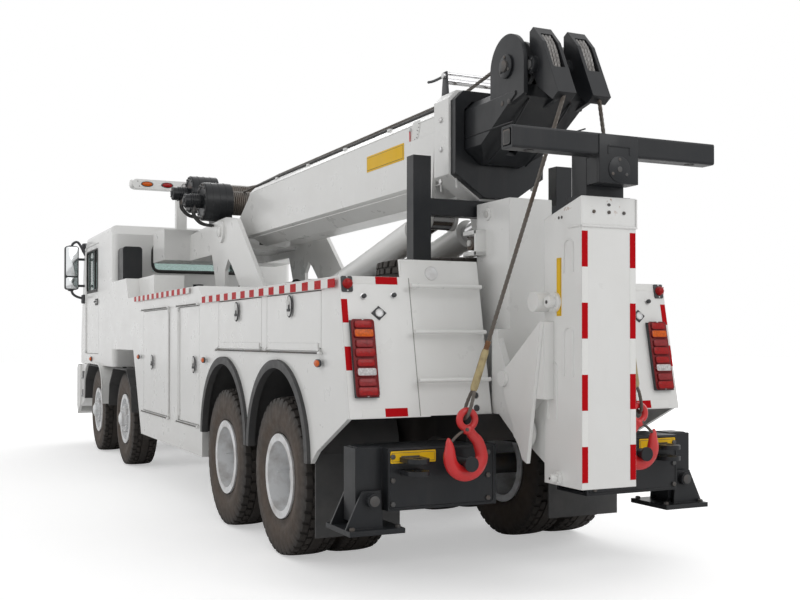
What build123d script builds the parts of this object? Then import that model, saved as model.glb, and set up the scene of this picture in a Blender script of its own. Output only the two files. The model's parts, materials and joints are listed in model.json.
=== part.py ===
from build123d import *
import math
import os

# Heavy wrecker on an 8x4 chassis, in millimetres.
# +X is forward, +Y is left, +Z is up, the ground is z = 0.

# Axles and wheels
rear_axle_x = -3525
bogie_spread = 1350
axle_gap = 4620
steer_spread = 1880
tyre_d = 1125
tyre_w = 315
rim_d = 524
flange_d = 600
wheel_z = tyre_d / 2
steer_tyre_y = 1022
outer_dual_y = 1087
dual_pitch = 350
kingpin_y = 800
kingpin_r = 30
spindle_r = 50
fit = 0.3
run_gap = 6

# Ladder frame
rail_y = 430
rail_w = 80
rail_top = 1060
rail_h = 280
rail_tail_h = 170
rail_front = 5420
rail_rear = -4885
rail_wall = 12

# Cab
cab_rear = 3100
cab_front = 5640
cab_half = 1200
cab_floor = 1180
cab_top = 3010
cab_wall = 45
door_rear = 4150
door_front = 5180
door_bottom = 1330
door_top = cab_top - 150
door_glass_h = 640
sill_z = door_top - door_glass_h
panel_gap = 6

# Side lockers, tail and deck
side_y = 1245
locker_y = 700
skin = 30
body_front_top = 1855
body_front_low = 1115
body_low_z = 490
body_top_front = 2015
body_top_rear = 1925
step_x = -1400
arch_r = 670
arch_z = 720
lip = 60
tail_top_x = -4677
tail_low_x = -4851
tail_low_z = 1054
deck_z = 1790
deck_t = 30
well_half = 395
shelf_z = 1430

# Boom, winches and lift cylinders
boom_pivot_x = 590
boom_pivot_z = 2710
boom_half = 300
boom_side_low = 2640
boom_belly = 2530
boom_top = 3150
boom_root = 160
boom_end = -4300
boom_wall = 24
collar_t = 60
collar_l = 210
inner_gap = 8
inner_belly = 2705
inner_fold = 2800
inner_belly_half = 150
pedestal_y = 440
pedestal_t = 40
pivot_r = 60
lift_low_x = -825
lift_low_z = 1700
lift_lug_x = -4025
lift_lug_z = 2400
lift_y = 215
barrel_r = 110
rod_r = 72
lift_pin_r = 35

# Underlift
arm_rear = -5725
arm_depth = 380
arm_half = 190
arm_low = 680
arm_high = 2350
arm_wall = 16
arm_pivot_x = -5185
arm_pivot_z = 970
arm_pin_r = 45
mast_half = 160
mast_front = -4480
mast_rear = -4900
mast_top = 2440
bar_half = 700
bar_high = inner_belly - 10
bar_low = bar_high - 125
bar_rear = -5815
bar_pivot_z = bar_low - 75

# Rear beams and stabilisers
beam_front = -4690
beam_rear = -5030
beam_low = 520
beam_top = 890
beam_inner = 340
beam_outer = 1075
leg_half = 70
leg_wall = 18
foot_z = 420
clevis_y = 930
clevis_z = 790
clevis_r = 25
hook_y = 640


def box(x0, x1, y0, y1, z0, z1):
    size = (abs(x1 - x0), abs(y1 - y0), abs(z1 - z0))
    return Pos((x0 + x1) / 2, (y0 + y1) / 2, (z0 + z1) / 2) * Box(*size)


def plate(points, y0, y1):
    face = make_face(Polyline(*[(x, y0, z) for x, z in points], close=True))
    return extrude(face, amount=y1 - y0, dir=(0, 1, 0))


def bar_section(points, x0, x1):
    face = make_face(Polyline(*[(x0, y, z) for y, z in points], close=True))
    return extrude(face, amount=x1 - x0, dir=(1, 0, 0))


def rod_x(y, z, r, x0, x1):
    return Pos((x0 + x1) / 2, y, z) * Rot(0, 90, 0) * Cylinder(r, abs(x1 - x0))


def rod_y(x, z, r, y0, y1):
    return Pos(x, (y0 + y1) / 2, z) * Rot(90, 0, 0) * Cylinder(r, abs(y1 - y0))


def rod_z(x, y, r, z0, z1):
    return Pos(x, y, (z0 + z1) / 2) * Cylinder(r, abs(z1 - z0))


def ring_y(x, z, r_out, r_in, y0, y1):
    low, high = min(y0, y1), max(y0, y1)
    return rod_y(x, z, r_out, low, high) - rod_y(x, z, r_in, low - 1, high + 1)


def both(left):
    return Compound(children=[left, mirror(left, about=Plane.XZ)])


def side_of(left, side):
    return left if side > 0 else mirror(left, about=Plane.XZ)


nodes = {}
axle_4 = rear_axle_x
axle_3 = axle_4 + bogie_spread
axle_2 = axle_3 + axle_gap
axle_1 = axle_2 + steer_spread

# Tyres and rims
tyre_r = tyre_d / 2
rim_r = rim_d / 2
flange_r = flange_d / 2
bead_half = tyre_w * 0.42
shoulder_half = tyre_w * 0.45
shoulder_drop = 16
sidewall_r = (tyre_r + rim_r) / 2
rim_wall = 14
disc_t = 18
hub_r = 150
dish = 95
hub_out = 60
hand_hole_r = 24
hand_hole_count = 8
hand_hole_pcd = 205


def tyre(x, y):
    half = tyre_w / 2
    bead_top = flange_r + fit
    profile = [
        (-bead_half, rim_r), (-bead_half, bead_top), (-half, sidewall_r),
        (-shoulder_half, tyre_r - shoulder_drop),
        (-shoulder_half + 2 * shoulder_drop, tyre_r), (shoulder_half - 2 * shoulder_drop, tyre_r),
        (shoulder_half, tyre_r - shoulder_drop), (half, sidewall_r),
        (bead_half, bead_top), (bead_half, rim_r)]
    face = make_face(Polyline(*[(0, a, r) for a, r in profile], close=True))
    return Pos(x, y, wheel_z) * revolve(face, Axis.Y)


def rim(x, y, disc_y):
    # Barrel inside the tyre's beads, flanges outside them and the disc with hand holes.
    edge = bead_half + fit
    barrel = ring_y(x, wheel_z, rim_r - fit, rim_r - rim_wall, y - edge, y + edge)
    ends = ring_y(x, wheel_z, flange_r, rim_r - rim_wall, y - edge - rim_wall, y - edge)
    ends += ring_y(x, wheel_z, flange_r, rim_r - rim_wall, y + edge, y + edge + rim_wall)
    disc = ring_y(x, wheel_z, rim_r - rim_wall / 2, spindle_r + fit, disc_y - disc_t / 2, disc_y + disc_t / 2)
    for step in range(hand_hole_count):
        turn = 2 * math.pi * step / hand_hole_count
        hole_x = x + hand_hole_pcd * math.cos(turn)
        hole_z = wheel_z + hand_hole_pcd * math.sin(turn)
        disc -= rod_y(hole_x, hole_z, hand_hole_r, disc_y - disc_t, disc_y + disc_t)
    return barrel + ends + disc


def steer_rim(x):
    disc_y = steer_tyre_y + dish
    hub = rod_y(x, wheel_z, hub_r, disc_y - dish, disc_y + hub_out)
    hub += rod_y(x, wheel_z, hub_r * 0.6, disc_y, disc_y + hub_out + rim_wall * 3)
    hub -= rod_y(x, wheel_z, spindle_r + fit, disc_y - 2 * dish, disc_y + hub_out)
    return rim(x, steer_tyre_y, disc_y) + hub


def dual_rim(x):
    middle = outer_dual_y - dual_pitch / 2
    outer = rim(x, outer_dual_y, middle + disc_t / 2)
    inner = rim(x, outer_dual_y - dual_pitch, middle - disc_t / 2)
    hub = rod_y(x, wheel_z, hub_r, middle - dish, middle + dish + hub_out)
    hub -= rod_y(x, wheel_z, spindle_r + fit, middle - 2 * dish, middle + hub_out)
    reach = dual_pitch / 2 - bead_half + rim_wall
    neck = ring_y(x, wheel_z, rim_r - rim_wall / 2, rim_r - 2 * rim_wall, middle - reach, middle + reach)
    return outer + inner + neck + hub


# column names: wheel name, axle x, steered
wheel_table = [("1", axle_1, True), ("2", axle_2, True), ("3", axle_3, False), ("4", axle_4, False)]
for name, x, steered in wheel_table:
    if steered:
        tyres = tyre(x, steer_tyre_y)
        rims = steer_rim(x)
    else:
        pair = [tyre(x, outer_dual_y), tyre(x, outer_dual_y - dual_pitch)]
        tyres = Compound(children=pair)
        rims = dual_rim(x)
    for letter, side in (("l", 1), ("r", -1)):
        nodes[f"tyre_{name}{letter}"] = side_of(tyres, side)
        nodes[f"rim_{name}{letter}"] = side_of(rims, side)

# Axles with their springs, and the steering knuckles
beam_w = 110
beam_h = 120
boss_r = 62
boss_h = 150
yoke_t = 40
yoke_gap = 5
spring_w = 90
spring_t = 70
spring_span = 1400
spring_pad = 60
rail_low = rail_top - rail_h
spring_top = rail_low
spring_mid_z = wheel_z + beam_h / 2 + spring_pad
stub_out = steer_tyre_y + dish + hub_out - disc_t


def leaf_spring(x, span, mid_z, end_z):
    top = ThreePointArc((x - span / 2, 0, end_z), (x, 0, mid_z + spring_t), (x + span / 2, 0, end_z))
    low = ThreePointArc((x + span / 2, 0, end_z - spring_t), (x, 0, mid_z),
                        (x - span / 2, 0, end_z - spring_t))
    edges = [top, Line(top @ 1, low @ 0), low, Line(low @ 1, top @ 0)]
    leaf = extrude(make_face(edges), amount=spring_w, dir=(0, 1, 0))
    return Pos(0, rail_y - spring_w / 2, 0) * leaf


def steer_axle(x):
    flange_h = beam_h / 4
    low = wheel_z - beam_h / 2
    high = wheel_z + beam_h / 2
    beam = box(x - beam_w / 2, x + beam_w / 2, -kingpin_y, kingpin_y, low, high)
    for side in (1, -1):
        beam -= box(x + side * beam_w / 5, x + side * beam_w, -kingpin_y + 2 * boss_r,
                    kingpin_y - 2 * boss_r, low + flange_h, high - flange_h)
        beam += rod_z(x, side * kingpin_y, boss_r, wheel_z - boss_h / 2, wheel_z + boss_h / 2)
        beam -= rod_z(x, side * kingpin_y, kingpin_r + fit, wheel_z - boss_h, wheel_z + boss_h)
    half = spring_w / 2
    pad = box(x - beam_w / 2, x + beam_w / 2, rail_y - half, rail_y + half, high, spring_mid_z + spring_t / 2)
    left = pad + leaf_spring(x, spring_span, spring_mid_z, spring_top)
    return beam + left + mirror(left, about=Plane.XZ)


axle_tube_r = 78
diff_r = 230
diff_l = 300
dual_stub = outer_dual_y - dual_pitch / 2 + hub_out - disc_t
tandem_mid = (axle_3 + axle_4) / 2
tandem_top = rail_low
seat_z = wheel_z + axle_tube_r


def drive_axle(x):
    inner_hub = outer_dual_y - dual_pitch / 2 - dish - run_gap
    tube = rod_y(x, wheel_z, axle_tube_r, -inner_hub, inner_hub)
    tube += rod_y(x, wheel_z, spindle_r, -dual_stub, dual_stub)
    tube += rod_x(0, wheel_z, diff_r, x - diff_l / 2, x + diff_l / 2)
    return tube


def tandem_axles():
    pair = drive_axle(axle_3) + drive_axle(axle_4)
    half = spring_w / 2
    spring = leaf_spring(tandem_mid, bogie_spread, tandem_top - spring_t, seat_z + spring_t / 2)
    for x in (axle_3, axle_4):
        spring += box(x - beam_w / 2, x + beam_w / 2, rail_y - half, rail_y + half, wheel_z,
                      seat_z + spring_t / 4)
    return pair + spring + mirror(spring, about=Plane.XZ)


nodes["axles"] = Compound(children=[steer_axle(axle_1), steer_axle(axle_2), tandem_axles()])


def knuckle(x):
    # A yoke over the axle's boss, its kingpin through the boss, and the stub axle.
    top = wheel_z + boss_h / 2 + yoke_gap
    low = wheel_z - boss_h / 2 - yoke_gap
    reach = kingpin_y + boss_r + run_gap
    web_t = yoke_t * 0.75
    body = rod_z(x, kingpin_y, kingpin_r, low - yoke_t, top + yoke_t)
    for z0, z1 in ((low - yoke_t, low), (top, top + yoke_t)):
        body += rod_z(x, kingpin_y, boss_r, z0, z1)
        body += box(x - boss_r, x + boss_r, kingpin_y, reach + web_t, z0, z1)
    body += box(x - boss_r, x + boss_r, reach, reach + web_t, low - yoke_t, top + yoke_t)
    body += rod_y(x, wheel_z, spindle_r, reach, stub_out)
    return body


for name, x in (("1", axle_1), ("2", axle_2)):
    for letter, side in (("l", 1), ("r", -1)):
        nodes[f"knuckle_{name}{letter}"] = side_of(knuckle(x), side)

# Ladder frame and engine
cross_x = [-3850, -2850, -700, 800, 1750, 3380, 5360]
cross_l = 120
tail_taper_x = -4150
engine_rear = 3560
engine_front = 5200
engine_half = 330
engine_low = 760
engine_top = 1150
engine_foot = 60


def ladder_frame():
    profile = [(rail_rear, rail_top - rail_tail_h), (tail_taper_x - rail_h, rail_top - rail_tail_h),
               (tail_taper_x, rail_low), (rail_front, rail_low),
               (rail_front, rail_top), (rail_rear, rail_top)]
    inside = rail_y - rail_w / 2
    rail = plate(profile, inside, rail_y + rail_w / 2)
    groove = plate([(tail_taper_x, rail_low + rail_wall), (rail_front + 1, rail_low + rail_wall),
                    (rail_front + 1, rail_top - rail_wall), (tail_taper_x, rail_top - rail_wall)],
                   inside - 1, rail_y + rail_w / 2 - rail_wall)
    rail -= groove
    frame = rail + mirror(rail, about=Plane.XZ)
    web = rail_y + rail_w / 2 - rail_wall
    for x in cross_x:
        bar = box(x - cross_l / 2, x + cross_l / 2, -web, web, rail_low + rail_wall * 3,
                  rail_top - rail_wall * 3)
        frame += bar
    frame += box(rail_rear, mast_front + cross_l, -inside, inside, rail_top - rail_tail_h, rail_top)
    return frame


nodes["frame"] = ladder_frame()
block = box(engine_rear, engine_front, -engine_half, engine_half, engine_low, engine_top)
for x in (engine_rear + engine_foot, engine_front - 4 * engine_foot):
    block += box(x, x + 2 * engine_foot, -rail_y, rail_y, rail_top, rail_top + engine_foot)
nodes["engine"] = block

# Hinges of doors and flaps: a pin on the panel, an eye at each end of it on the body
hinge_r = 7
hinge_out = 9
hinge_leaf = 45
eye_l = 28
eye_inset = 8
eye_r = 12.5


def hinge_line(x0, x1, z0, z1, edge, face_y):
    y = face_y + hinge_out
    if edge == "low":
        return (x0, y, z0 - hinge_r), (x1, y, z0 - hinge_r)
    x = x0 - hinge_r if edge == "rear" else x1 + hinge_r
    return (x, y, z0), (x, y, z1)


def hinge_eye(x0, x1, z0, z1, edge, face_y, end):
    (ax, y, az), (bx, y, bz) = hinge_line(x0, x1, z0, z1, edge, face_y)
    opening = box(x0, x1, face_y - 2 * skin, face_y, z0, z1)
    if edge == "low":
        start = ax + eye_inset if end == 0 else bx - eye_inset - eye_l
        eye = rod_x(y, az, eye_r, start, start + eye_l)
        eye += box(start, start + eye_l, face_y - 1, y, az - eye_r, az)
        return eye - rod_x(y, az, hinge_r + fit, start - 1, start + eye_l + 1) - opening
    start = az + eye_inset if end == 0 else bz - eye_inset - eye_l
    out = -1 if edge == "rear" else 1
    eye = rod_z(ax, y, eye_r, start, start + eye_l)
    eye += box(ax, ax + out * eye_r, face_y - 1, y, start, start + eye_l)
    return eye - rod_z(ax, y, hinge_r + fit, start - 1, start + eye_l + 1) - opening


def hinged_panel(x0, x1, z0, z1, edge, face_y, thick):
    g = panel_gap
    panel = box(x0 + g, x1 - g, face_y - thick, face_y, z0 + g, z1 - g)
    (ax, y, az), (bx, y, bz) = hinge_line(x0, x1, z0, z1, edge, face_y)
    free = eye_inset + eye_l + g
    if edge == "low":
        leaf = box(x0 + free, x1 - free, face_y, y, az, az + hinge_leaf)
        return panel + leaf + rod_x(y, az, hinge_r, ax, bx)
    low, high = (ax, ax + hinge_leaf) if edge == "rear" else (ax - hinge_leaf, ax)
    leaf = box(low, high, face_y, y, z0 + free, z1 - free)
    return panel + leaf + rod_z(ax, y, hinge_r, az, bz)


# Cab: a hollow shell with its door openings and windows cut
brow_x = cab_front - 170
brow_z = cab_top - 230
cowl_z = 1900
roof_slope = 480
roof_front = cab_front - roof_slope
roof_edge = 120
pillar_w = 140
screen_half = cab_half - pillar_w
screen_high = brow_z - 65
screen_h = 730
screen_low = screen_high - screen_h
rear_glass_half = 690
rear_glass_high = cab_top - 250
rear_glass_h = 340
rear_glass_low = rear_glass_high - rear_glass_h
edge_r = 70
glass_t = 10
cab_foot = 120


def inset_plate(points, inset, y0, y1):
    face = make_face(Polyline(*[(x, y0, z) for x, z in points], close=True))
    return extrude(offset(face, amount=-inset), amount=y1 - y0, dir=(0, 1, 0))


def screen_x(z):
    return cab_front - (cab_front - brow_x) * (z - cowl_z) / (brow_z - cowl_z)


cab_profile = [(cab_rear, cab_floor), (cab_front, cab_floor), (cab_front, cowl_z), (brow_x, brow_z),
               (roof_front, cab_top), (cab_rear + roof_edge, cab_top), (cab_rear, cab_top - roof_edge)]
shell = plate(cab_profile, -cab_half, cab_half)


def upper_side_edge(edge):
    return abs(abs(edge.center().Y) - cab_half) < 1 and edge.center().Z > cowl_z


shell = fillet(shell.edges().filter_by(upper_side_edge), edge_r)
shell -= inset_plate(cab_profile, cab_wall, -cab_half + cab_wall, cab_half - cab_wall)
shell -= box(brow_x - 2 * cab_wall, cab_front + 1, -screen_half, screen_half, screen_low, screen_high)
shell -= box(cab_rear - 1, cab_rear + 2 * cab_wall, -rear_glass_half, rear_glass_half, rear_glass_low,
             rear_glass_high)
shell -= box(door_rear, door_front, -cab_half - 1, cab_half + 1, door_bottom, door_top)
for x in (cab_rear + cab_foot, door_front + cab_foot):
    for side in (1, -1):
        shell += box(x, x + cab_foot, side * rail_y - cab_foot / 2, side * rail_y + cab_foot / 2, rail_top,
                     cab_floor)
for end in (0, 1):
    eye = hinge_eye(door_rear, door_front, door_bottom, door_top, "front", cab_half, end)
    shell += eye + mirror(eye, about=Plane.XZ)
nodes["cab_shell"] = shell

pane = [(screen_x(z) - cab_wall / 2 + d, z) for z, d in (
    (screen_low + fit, -glass_t), (screen_low + fit, 0),
    (screen_high - fit, 0), (screen_high - fit, -glass_t))]
screen = plate(pane, -screen_half + fit, screen_half - fit)
rear_pane = box(cab_rear + cab_wall / 2, cab_rear + cab_wall / 2 + glass_t, -rear_glass_half + fit,
                rear_glass_half - fit, rear_glass_low + fit, rear_glass_high - fit)
nodes["cab_glass"] = Compound(children=[screen, rear_pane])

frame_w = 75
door = hinged_panel(door_rear, door_front, door_bottom, door_top, "front", cab_half, cab_wall)
door -= box(door_rear + frame_w, door_front - frame_w, cab_half - 2 * cab_wall, cab_half + 1,
            sill_z, door_top - frame_w)
handle_drop = 150
handle_l = 150
handle_h = 38
door += box(door_rear + frame_w, door_rear + frame_w + handle_l, cab_half, cab_half + cab_wall / 2,
            sill_z - handle_drop - handle_h, sill_z - handle_drop)
for letter, side in (("l", 1), ("r", -1)):
    nodes[f"cab_door_{letter}"] = side_of(door, side)

# Seats, dashboard and steering wheel
floor_z = cab_floor + cab_wall
seat_x = 4080
seat_l = 560
seat_half = 250
seat_y = 640
seat_h = 500
back_t = 150
back_h = 1180
dash_l = 330
dash_low = 1500
dash_top = 1940
wheel_ring_r = 235
wheel_grip_r = 18
wheel_disc_t = 12
wheel_back = 170
wheel_drop = 40
wheel_tilt = -60
column_r = 35
column_l = 260
seat = box(seat_x, seat_x + seat_l, seat_y - seat_half, seat_y + seat_half, floor_z, floor_z + seat_h)
seat += plate([(seat_x, floor_z + seat_h / 2), (seat_x + back_t, floor_z + seat_h / 2),
               (seat_x, floor_z + back_h), (seat_x - back_t, floor_z + back_h)],
              seat_y - seat_half, seat_y + seat_half)
inner_half = cab_half - cab_wall
dash = plate([(cab_front - cab_wall - dash_l, dash_low), (cab_front - cab_wall, floor_z),
              (cab_front - cab_wall, dash_top - cab_wall * 2),
              (cab_front - cab_wall - dash_l, dash_top - cab_wall)],
             -inner_half, inner_half)
column_x = cab_front - cab_wall - dash_l
wheel_at = Pos(column_x - wheel_back, seat_y, dash_top - wheel_drop) * Rot(0, wheel_tilt, 0)
helm = wheel_at * Torus(wheel_ring_r, wheel_grip_r) + wheel_at * Cylinder(wheel_ring_r, wheel_disc_t)
helm += wheel_at * Pos(0, 0, -column_l / 2) * Cylinder(column_r, column_l)
nodes["cab_interior"] = Compound(children=[seat, mirror(seat, about=Plane.XZ), dash + helm])

# Bumper, mirrors and lamps
bumper_front = 5815
bumper_rear = 5500
bumper_low = 420
bumper_top = 1160
bumper_half = cab_half + 35
bumper_wall = 40
lamp_z = 800
lamp_h = 190
lamp_w = 330
lamp_t = 30
lamp_y = 960
bumper = plate([(bumper_rear, bumper_low + 160), (bumper_front - 60, bumper_low),
                (bumper_front, bumper_low + 120),
                (bumper_front, bumper_top - 60), (bumper_front - 60, bumper_top), (bumper_rear, bumper_top)],
               -bumper_half, bumper_half)
bumper -= box(bumper_rear - 1, bumper_front - 3 * bumper_wall, -bumper_half + bumper_wall,
              bumper_half - bumper_wall,
              bumper_low - 1, bumper_top - bumper_wall)
for side in (1, -1):
    bumper += box(rail_front, bumper_front - 2 * bumper_wall, side * rail_y - rail_w / 2,
                  side * rail_y + rail_w / 2,
                  rail_low, rail_top)
    bumper -= box(bumper_front - lamp_t, bumper_front + 1, side * lamp_y - lamp_w / 2,
                  side * lamp_y + lamp_w / 2,
                  lamp_z - lamp_h / 2, lamp_z + lamp_h / 2)
nodes["front_bumper"] = bumper

mirror_x = 5380
mirror_reach = 185
mirror_y = cab_half + mirror_reach
mirror_w = 190
mirror_t = 95
mirror_high = cab_top - 110
mirror_h = 640
mirror_low = mirror_high - mirror_h
mirror_edge = 40
mirror_arm_in = 60
brow_arm_in = 70
arm_r = 18
case = box(mirror_x - mirror_t / 2, mirror_x + mirror_t / 2, mirror_y - mirror_w / 2, mirror_y + mirror_w / 2,
           mirror_low, mirror_high)
case = fillet(case.edges().filter_by(Axis.X), mirror_edge)
for z in (mirror_low + mirror_arm_in, brow_z - brow_arm_in):
    case += rod_y(mirror_x, z, arm_r, cab_half, mirror_y)
nodes["mirrors"] = both(case)

tail_lamp_y = 1125
tail_lamp_w = 150
tail_lamp_low = 1180
tail_lamp_high = 1650


def tail_x(z):
    return tail_top_x + (tail_low_x - tail_top_x) * (body_top_rear - z) / (body_top_rear - tail_low_z)


head_lamp = box(bumper_front - lamp_t, bumper_front, lamp_y - lamp_w / 2 + fit, lamp_y + lamp_w / 2 - fit,
                lamp_z - lamp_h / 2 + fit, lamp_z + lamp_h / 2 - fit)
tail_lamp = plate([(tail_x(tail_lamp_low), tail_lamp_low), (tail_x(tail_lamp_high), tail_lamp_high),
                   (tail_x(tail_lamp_high) - lamp_t, tail_lamp_high),
                   (tail_x(tail_lamp_low) - lamp_t, tail_lamp_low)],
                  tail_lamp_y - tail_lamp_w / 2, tail_lamp_y + tail_lamp_w / 2)
nodes["lamps"] = Compound(children=[both(head_lamp), both(tail_lamp)])

# Mudguards and flaps
guard_r = 600
guard_t = 12
guard_reach = 740
guard_end = 120
guard_bend = 690
guard_knee = 400
guard_flat = 420
guard_inset = 0.982
guard_in = 872
guard_out = 1235
guard_post = 60
flap_t = 12
flap_low = 230
flap_in = 600
flap_out = 1210
lip_w = 55


def half_ring(x, z, r_out, r_in, y0, y1):
    return ring_y(x, z, r_out, r_in, y0, y1) - box(x - 2 * r_out, x + 2 * r_out, y0 - 1, y1 + 1,
                                                   z - 2 * r_out, z)


def steer_guard(x):
    # A flat-topped arch, wide enough at its ends for the tyre at full lock.
    top = wheel_z + guard_r + guard_t
    arch = [(-guard_reach, wheel_z + guard_end), (-guard_bend, wheel_z + guard_knee), (-guard_flat, top),
            (guard_flat, top),
            (guard_bend, wheel_z + guard_knee), (guard_reach, wheel_z + guard_end)]
    arch = [(x + a, z) for a, z in arch]
    under = [(x + (a - x) * guard_inset, z - guard_t) for a, z in arch]
    part = plate(arch, guard_in, guard_out) - plate(under, guard_in - 1, guard_out + 1)
    part -= box(x - 2 * guard_reach, x + 2 * guard_reach, guard_in - 1, guard_out + 1, 0,
                wheel_z + guard_end + 1)
    part += box(x - guard_post, x + guard_post, rail_y - rail_w / 2, guard_out, top - guard_t, top)
    part += box(x - guard_post, x + guard_post, rail_y - rail_w / 2, rail_y + rail_w / 2, rail_top, top)
    return part


def rear_guard(x):
    outer = arch_r - fit
    part = half_ring(x, arch_z, outer, outer - guard_t, flap_in, side_y - skin)
    return part + half_ring(x, arch_z, outer, outer - lip, side_y - skin, side_y + lip_w - skin)


flap_x = axle_4 - arch_r + guard_t
flap = box(flap_x - flap_t, flap_x, flap_in, flap_out, flap_low, arch_z + lip)
nodes["mudguards"] = Compound(children=[both(steer_guard(axle_1)), both(steer_guard(axle_2)),
                                        both(rear_guard(axle_3)), both(rear_guard(axle_4) + flap)])

# Side bodies with their lockers
cavity_rear = axle_3 + arch_r + skin
step_run = 150
side_box_front = 2930
side_box_low = 1410
side_box_top = 2255
side_box_rear = 1990
side_box_in = 900
top_box_rear = 1140
top_box_in = 760
top_box_out = 1100
lower_corner_x = axle_4 - arch_r - 110
lower_corner_z = 810
# column names: door name, rear x, front x, low z, high z, hinged edge
locker_table = [
    ("front", -215, 995, 760, 1840, "rear"),
    ("mid", -1375, -625, 760, 1840, "front"),
    ("flap_a", -3165, -2005, 1470, 1850, "low"),
    ("flap_b", -4385, -3285, 1470, 1850, "low")]


def body_tail(z):
    return tail_x(z) + skin


front_profile = [(body_front_top, body_top_front), (body_front_low, body_low_z), (cavity_rear, body_low_z),
                 (cavity_rear, body_top_rear), (cavity_rear + step_run, body_top_front)]
rear_profile = [(cavity_rear, shelf_z), (body_tail(shelf_z), shelf_z),
                (body_tail(body_top_rear), body_top_rear),
                (cavity_rear, body_top_rear)]
skirt_profile = [(cavity_rear, shelf_z), (cavity_rear, arch_z), (axle_4 - arch_r, arch_z),
                 (lower_corner_x, lower_corner_z),
                 (body_tail(tail_low_z), tail_low_z), (body_tail(shelf_z), shelf_z)]


def front_edge_x(z):
    share = (z - body_low_z) / (body_top_front - body_low_z)
    return body_front_low + (body_front_top - body_front_low) * share


# Tool box ahead of the lockers, along their leaning front edge
side_box_profile = [(front_edge_x(side_box_low) - 1, side_box_low), (side_box_front, side_box_low),
                    (side_box_front, side_box_top), (side_box_rear, side_box_top),
                    (body_front_top - 1, body_top_front)]


def side_body():
    body = plate(front_profile, locker_y, side_y) + plate(rear_profile, locker_y, side_y)
    body -= inset_plate(front_profile, skin, locker_y + skin, side_y - skin)
    body -= inset_plate(rear_profile, skin, locker_y + skin, side_y - skin)
    skirt = plate(skirt_profile, side_y - skin, side_y)
    for x in (axle_3, axle_4):
        skirt -= rod_y(x, arch_z, arch_r, side_y - 2 * skin, side_y + 1)
    body += skirt
    for name, x0, x1, z0, z1, edge in locker_table:
        body -= box(x0, x1, side_y - 2 * skin, side_y + 1, z0, z1)
        for end in (0, 1):
            body += hinge_eye(x0, x1, z0, z1, edge, side_y, end)
    body += plate(side_box_profile, side_box_in, side_y)
    body += box(top_box_rear, side_box_rear, top_box_in, top_box_out, body_top_front - 1, side_box_top)
    return body


body_left = side_body()
nodes["body_left"] = body_left
nodes["body_right"] = mirror(body_left, about=Plane.XZ)
door_solids = {row[0]: hinged_panel(*row[1:], side_y, skin) for row in locker_table}
flaps = Compound(children=[door_solids["flap_a"], door_solids["flap_b"]])
for letter, side in (("l", 1), ("r", -1)):
    nodes[f"locker_front_{letter}"] = side_of(door_solids["front"], side)
    nodes[f"locker_mid_{letter}"] = side_of(door_solids["mid"], side)
    nodes[f"locker_flaps_{letter}"] = side_of(flaps, side)

# Deck over the frame, with the well for the lift cylinders
deck_front = 1850
deck_rear = -4470
well_front = 250
well_rear = -3150
web_y = 412
web_t = 48
deck = box(deck_rear, deck_front, -locker_y, locker_y, deck_z - deck_t, deck_z)
deck -= box(well_rear, well_front, -well_half, well_half, deck_z - 2 * deck_t, deck_z + 1)
for side in (1, -1):
    deck += box(deck_rear, deck_front, side * web_y, side * (web_y + web_t), rail_top, deck_z - deck_t)
deck += rod_y(lift_low_x, lift_low_z, lift_pin_r, -web_y - 1, web_y + 1)
nodes["deck"] = deck

# Tail panels with the ladder steps
ladder_in = 262
ladder_out = 820
ladder_top = 2040
ladder_front = -4482
rung_r = 14
rung_post_r = 10
rung_off = 60
rung_in = 310
rung_out = 760
rung_rows = [1280, 1580, 1870]
ladder_profile = [(tail_x(rail_top), rail_top), (tail_x(ladder_top), ladder_top), (ladder_front, ladder_top),
                  (ladder_front, rail_top)]
lamp_profile = [(tail_x(tail_low_z), tail_low_z), (tail_x(body_top_rear), body_top_rear),
                (body_tail(body_top_rear), body_top_rear), (body_tail(tail_low_z), tail_low_z)]
step_profile = [(tail_x(tail_low_z), tail_low_z), (tail_x(ladder_top), ladder_top),
                (body_tail(ladder_top), ladder_top),
                (body_tail(tail_low_z), tail_low_z)]
tail = plate(ladder_profile, ladder_in, locker_y)
tail -= inset_plate(ladder_profile, skin, ladder_in + skin, locker_y - skin)
tail += plate(step_profile, locker_y, ladder_out)
tail += plate(lamp_profile, ladder_out, side_y)
for z in rung_rows:
    tail += rod_y(tail_x(z) - rung_off, z, rung_r, rung_in - 2 * rung_r, rung_out + 2 * rung_r)
    for y in (rung_in, rung_out):
        tail += rod_x(y, z, rung_post_r, tail_x(z) - rung_off, tail_x(z) + skin / 2)
nodes["tail_panels"] = both(tail)

# Boom pedestal, winches and light bar
tray_rear = 1960
tray_front = 2560
tray_half = 800
tray_low = 2487
tray_top = 2857
floor_rear = 770
floor_front = 1720
winch_floor = 2600
pedestal_profile = [(25, 2800), (420, 2855), (725, 2850), (tray_rear, tray_top - 60), (tray_rear, tray_low),
                    (1000, tray_low),
                    (850, 2180), (800, deck_z), (-1075, deck_z), (-1075, deck_z + 70)]
window_profile = [(470, 1880), (470, 2280), (350, 2400), (230, 2330), (-330, 1880)]
cheek = plate(pedestal_profile, pedestal_y, pedestal_y + pedestal_t)
cheek -= plate(window_profile, pedestal_y - 1, pedestal_y + pedestal_t + 1)
cheek += rod_y(boom_pivot_x, boom_pivot_z, 2 * pivot_r, pedestal_y + pedestal_t, pedestal_y + pedestal_t + 25)
pedestal = cheek + mirror(cheek, about=Plane.XZ)
pedestal += rod_y(boom_pivot_x, boom_pivot_z, pivot_r, -pedestal_y - 1, pedestal_y + 1)
pedestal += box(floor_rear, floor_front, -pedestal_y - 1, pedestal_y + 1, winch_floor - 40, winch_floor)
tray = box(tray_rear, tray_front, -tray_half, tray_half, tray_low, tray_top)
tray -= box(tray_rear + skin, tray_front - skin, -tray_half + skin, tray_half - skin, tray_low + skin,
            tray_top + 1)
nodes["boom_pedestal"] = pedestal + tray

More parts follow.
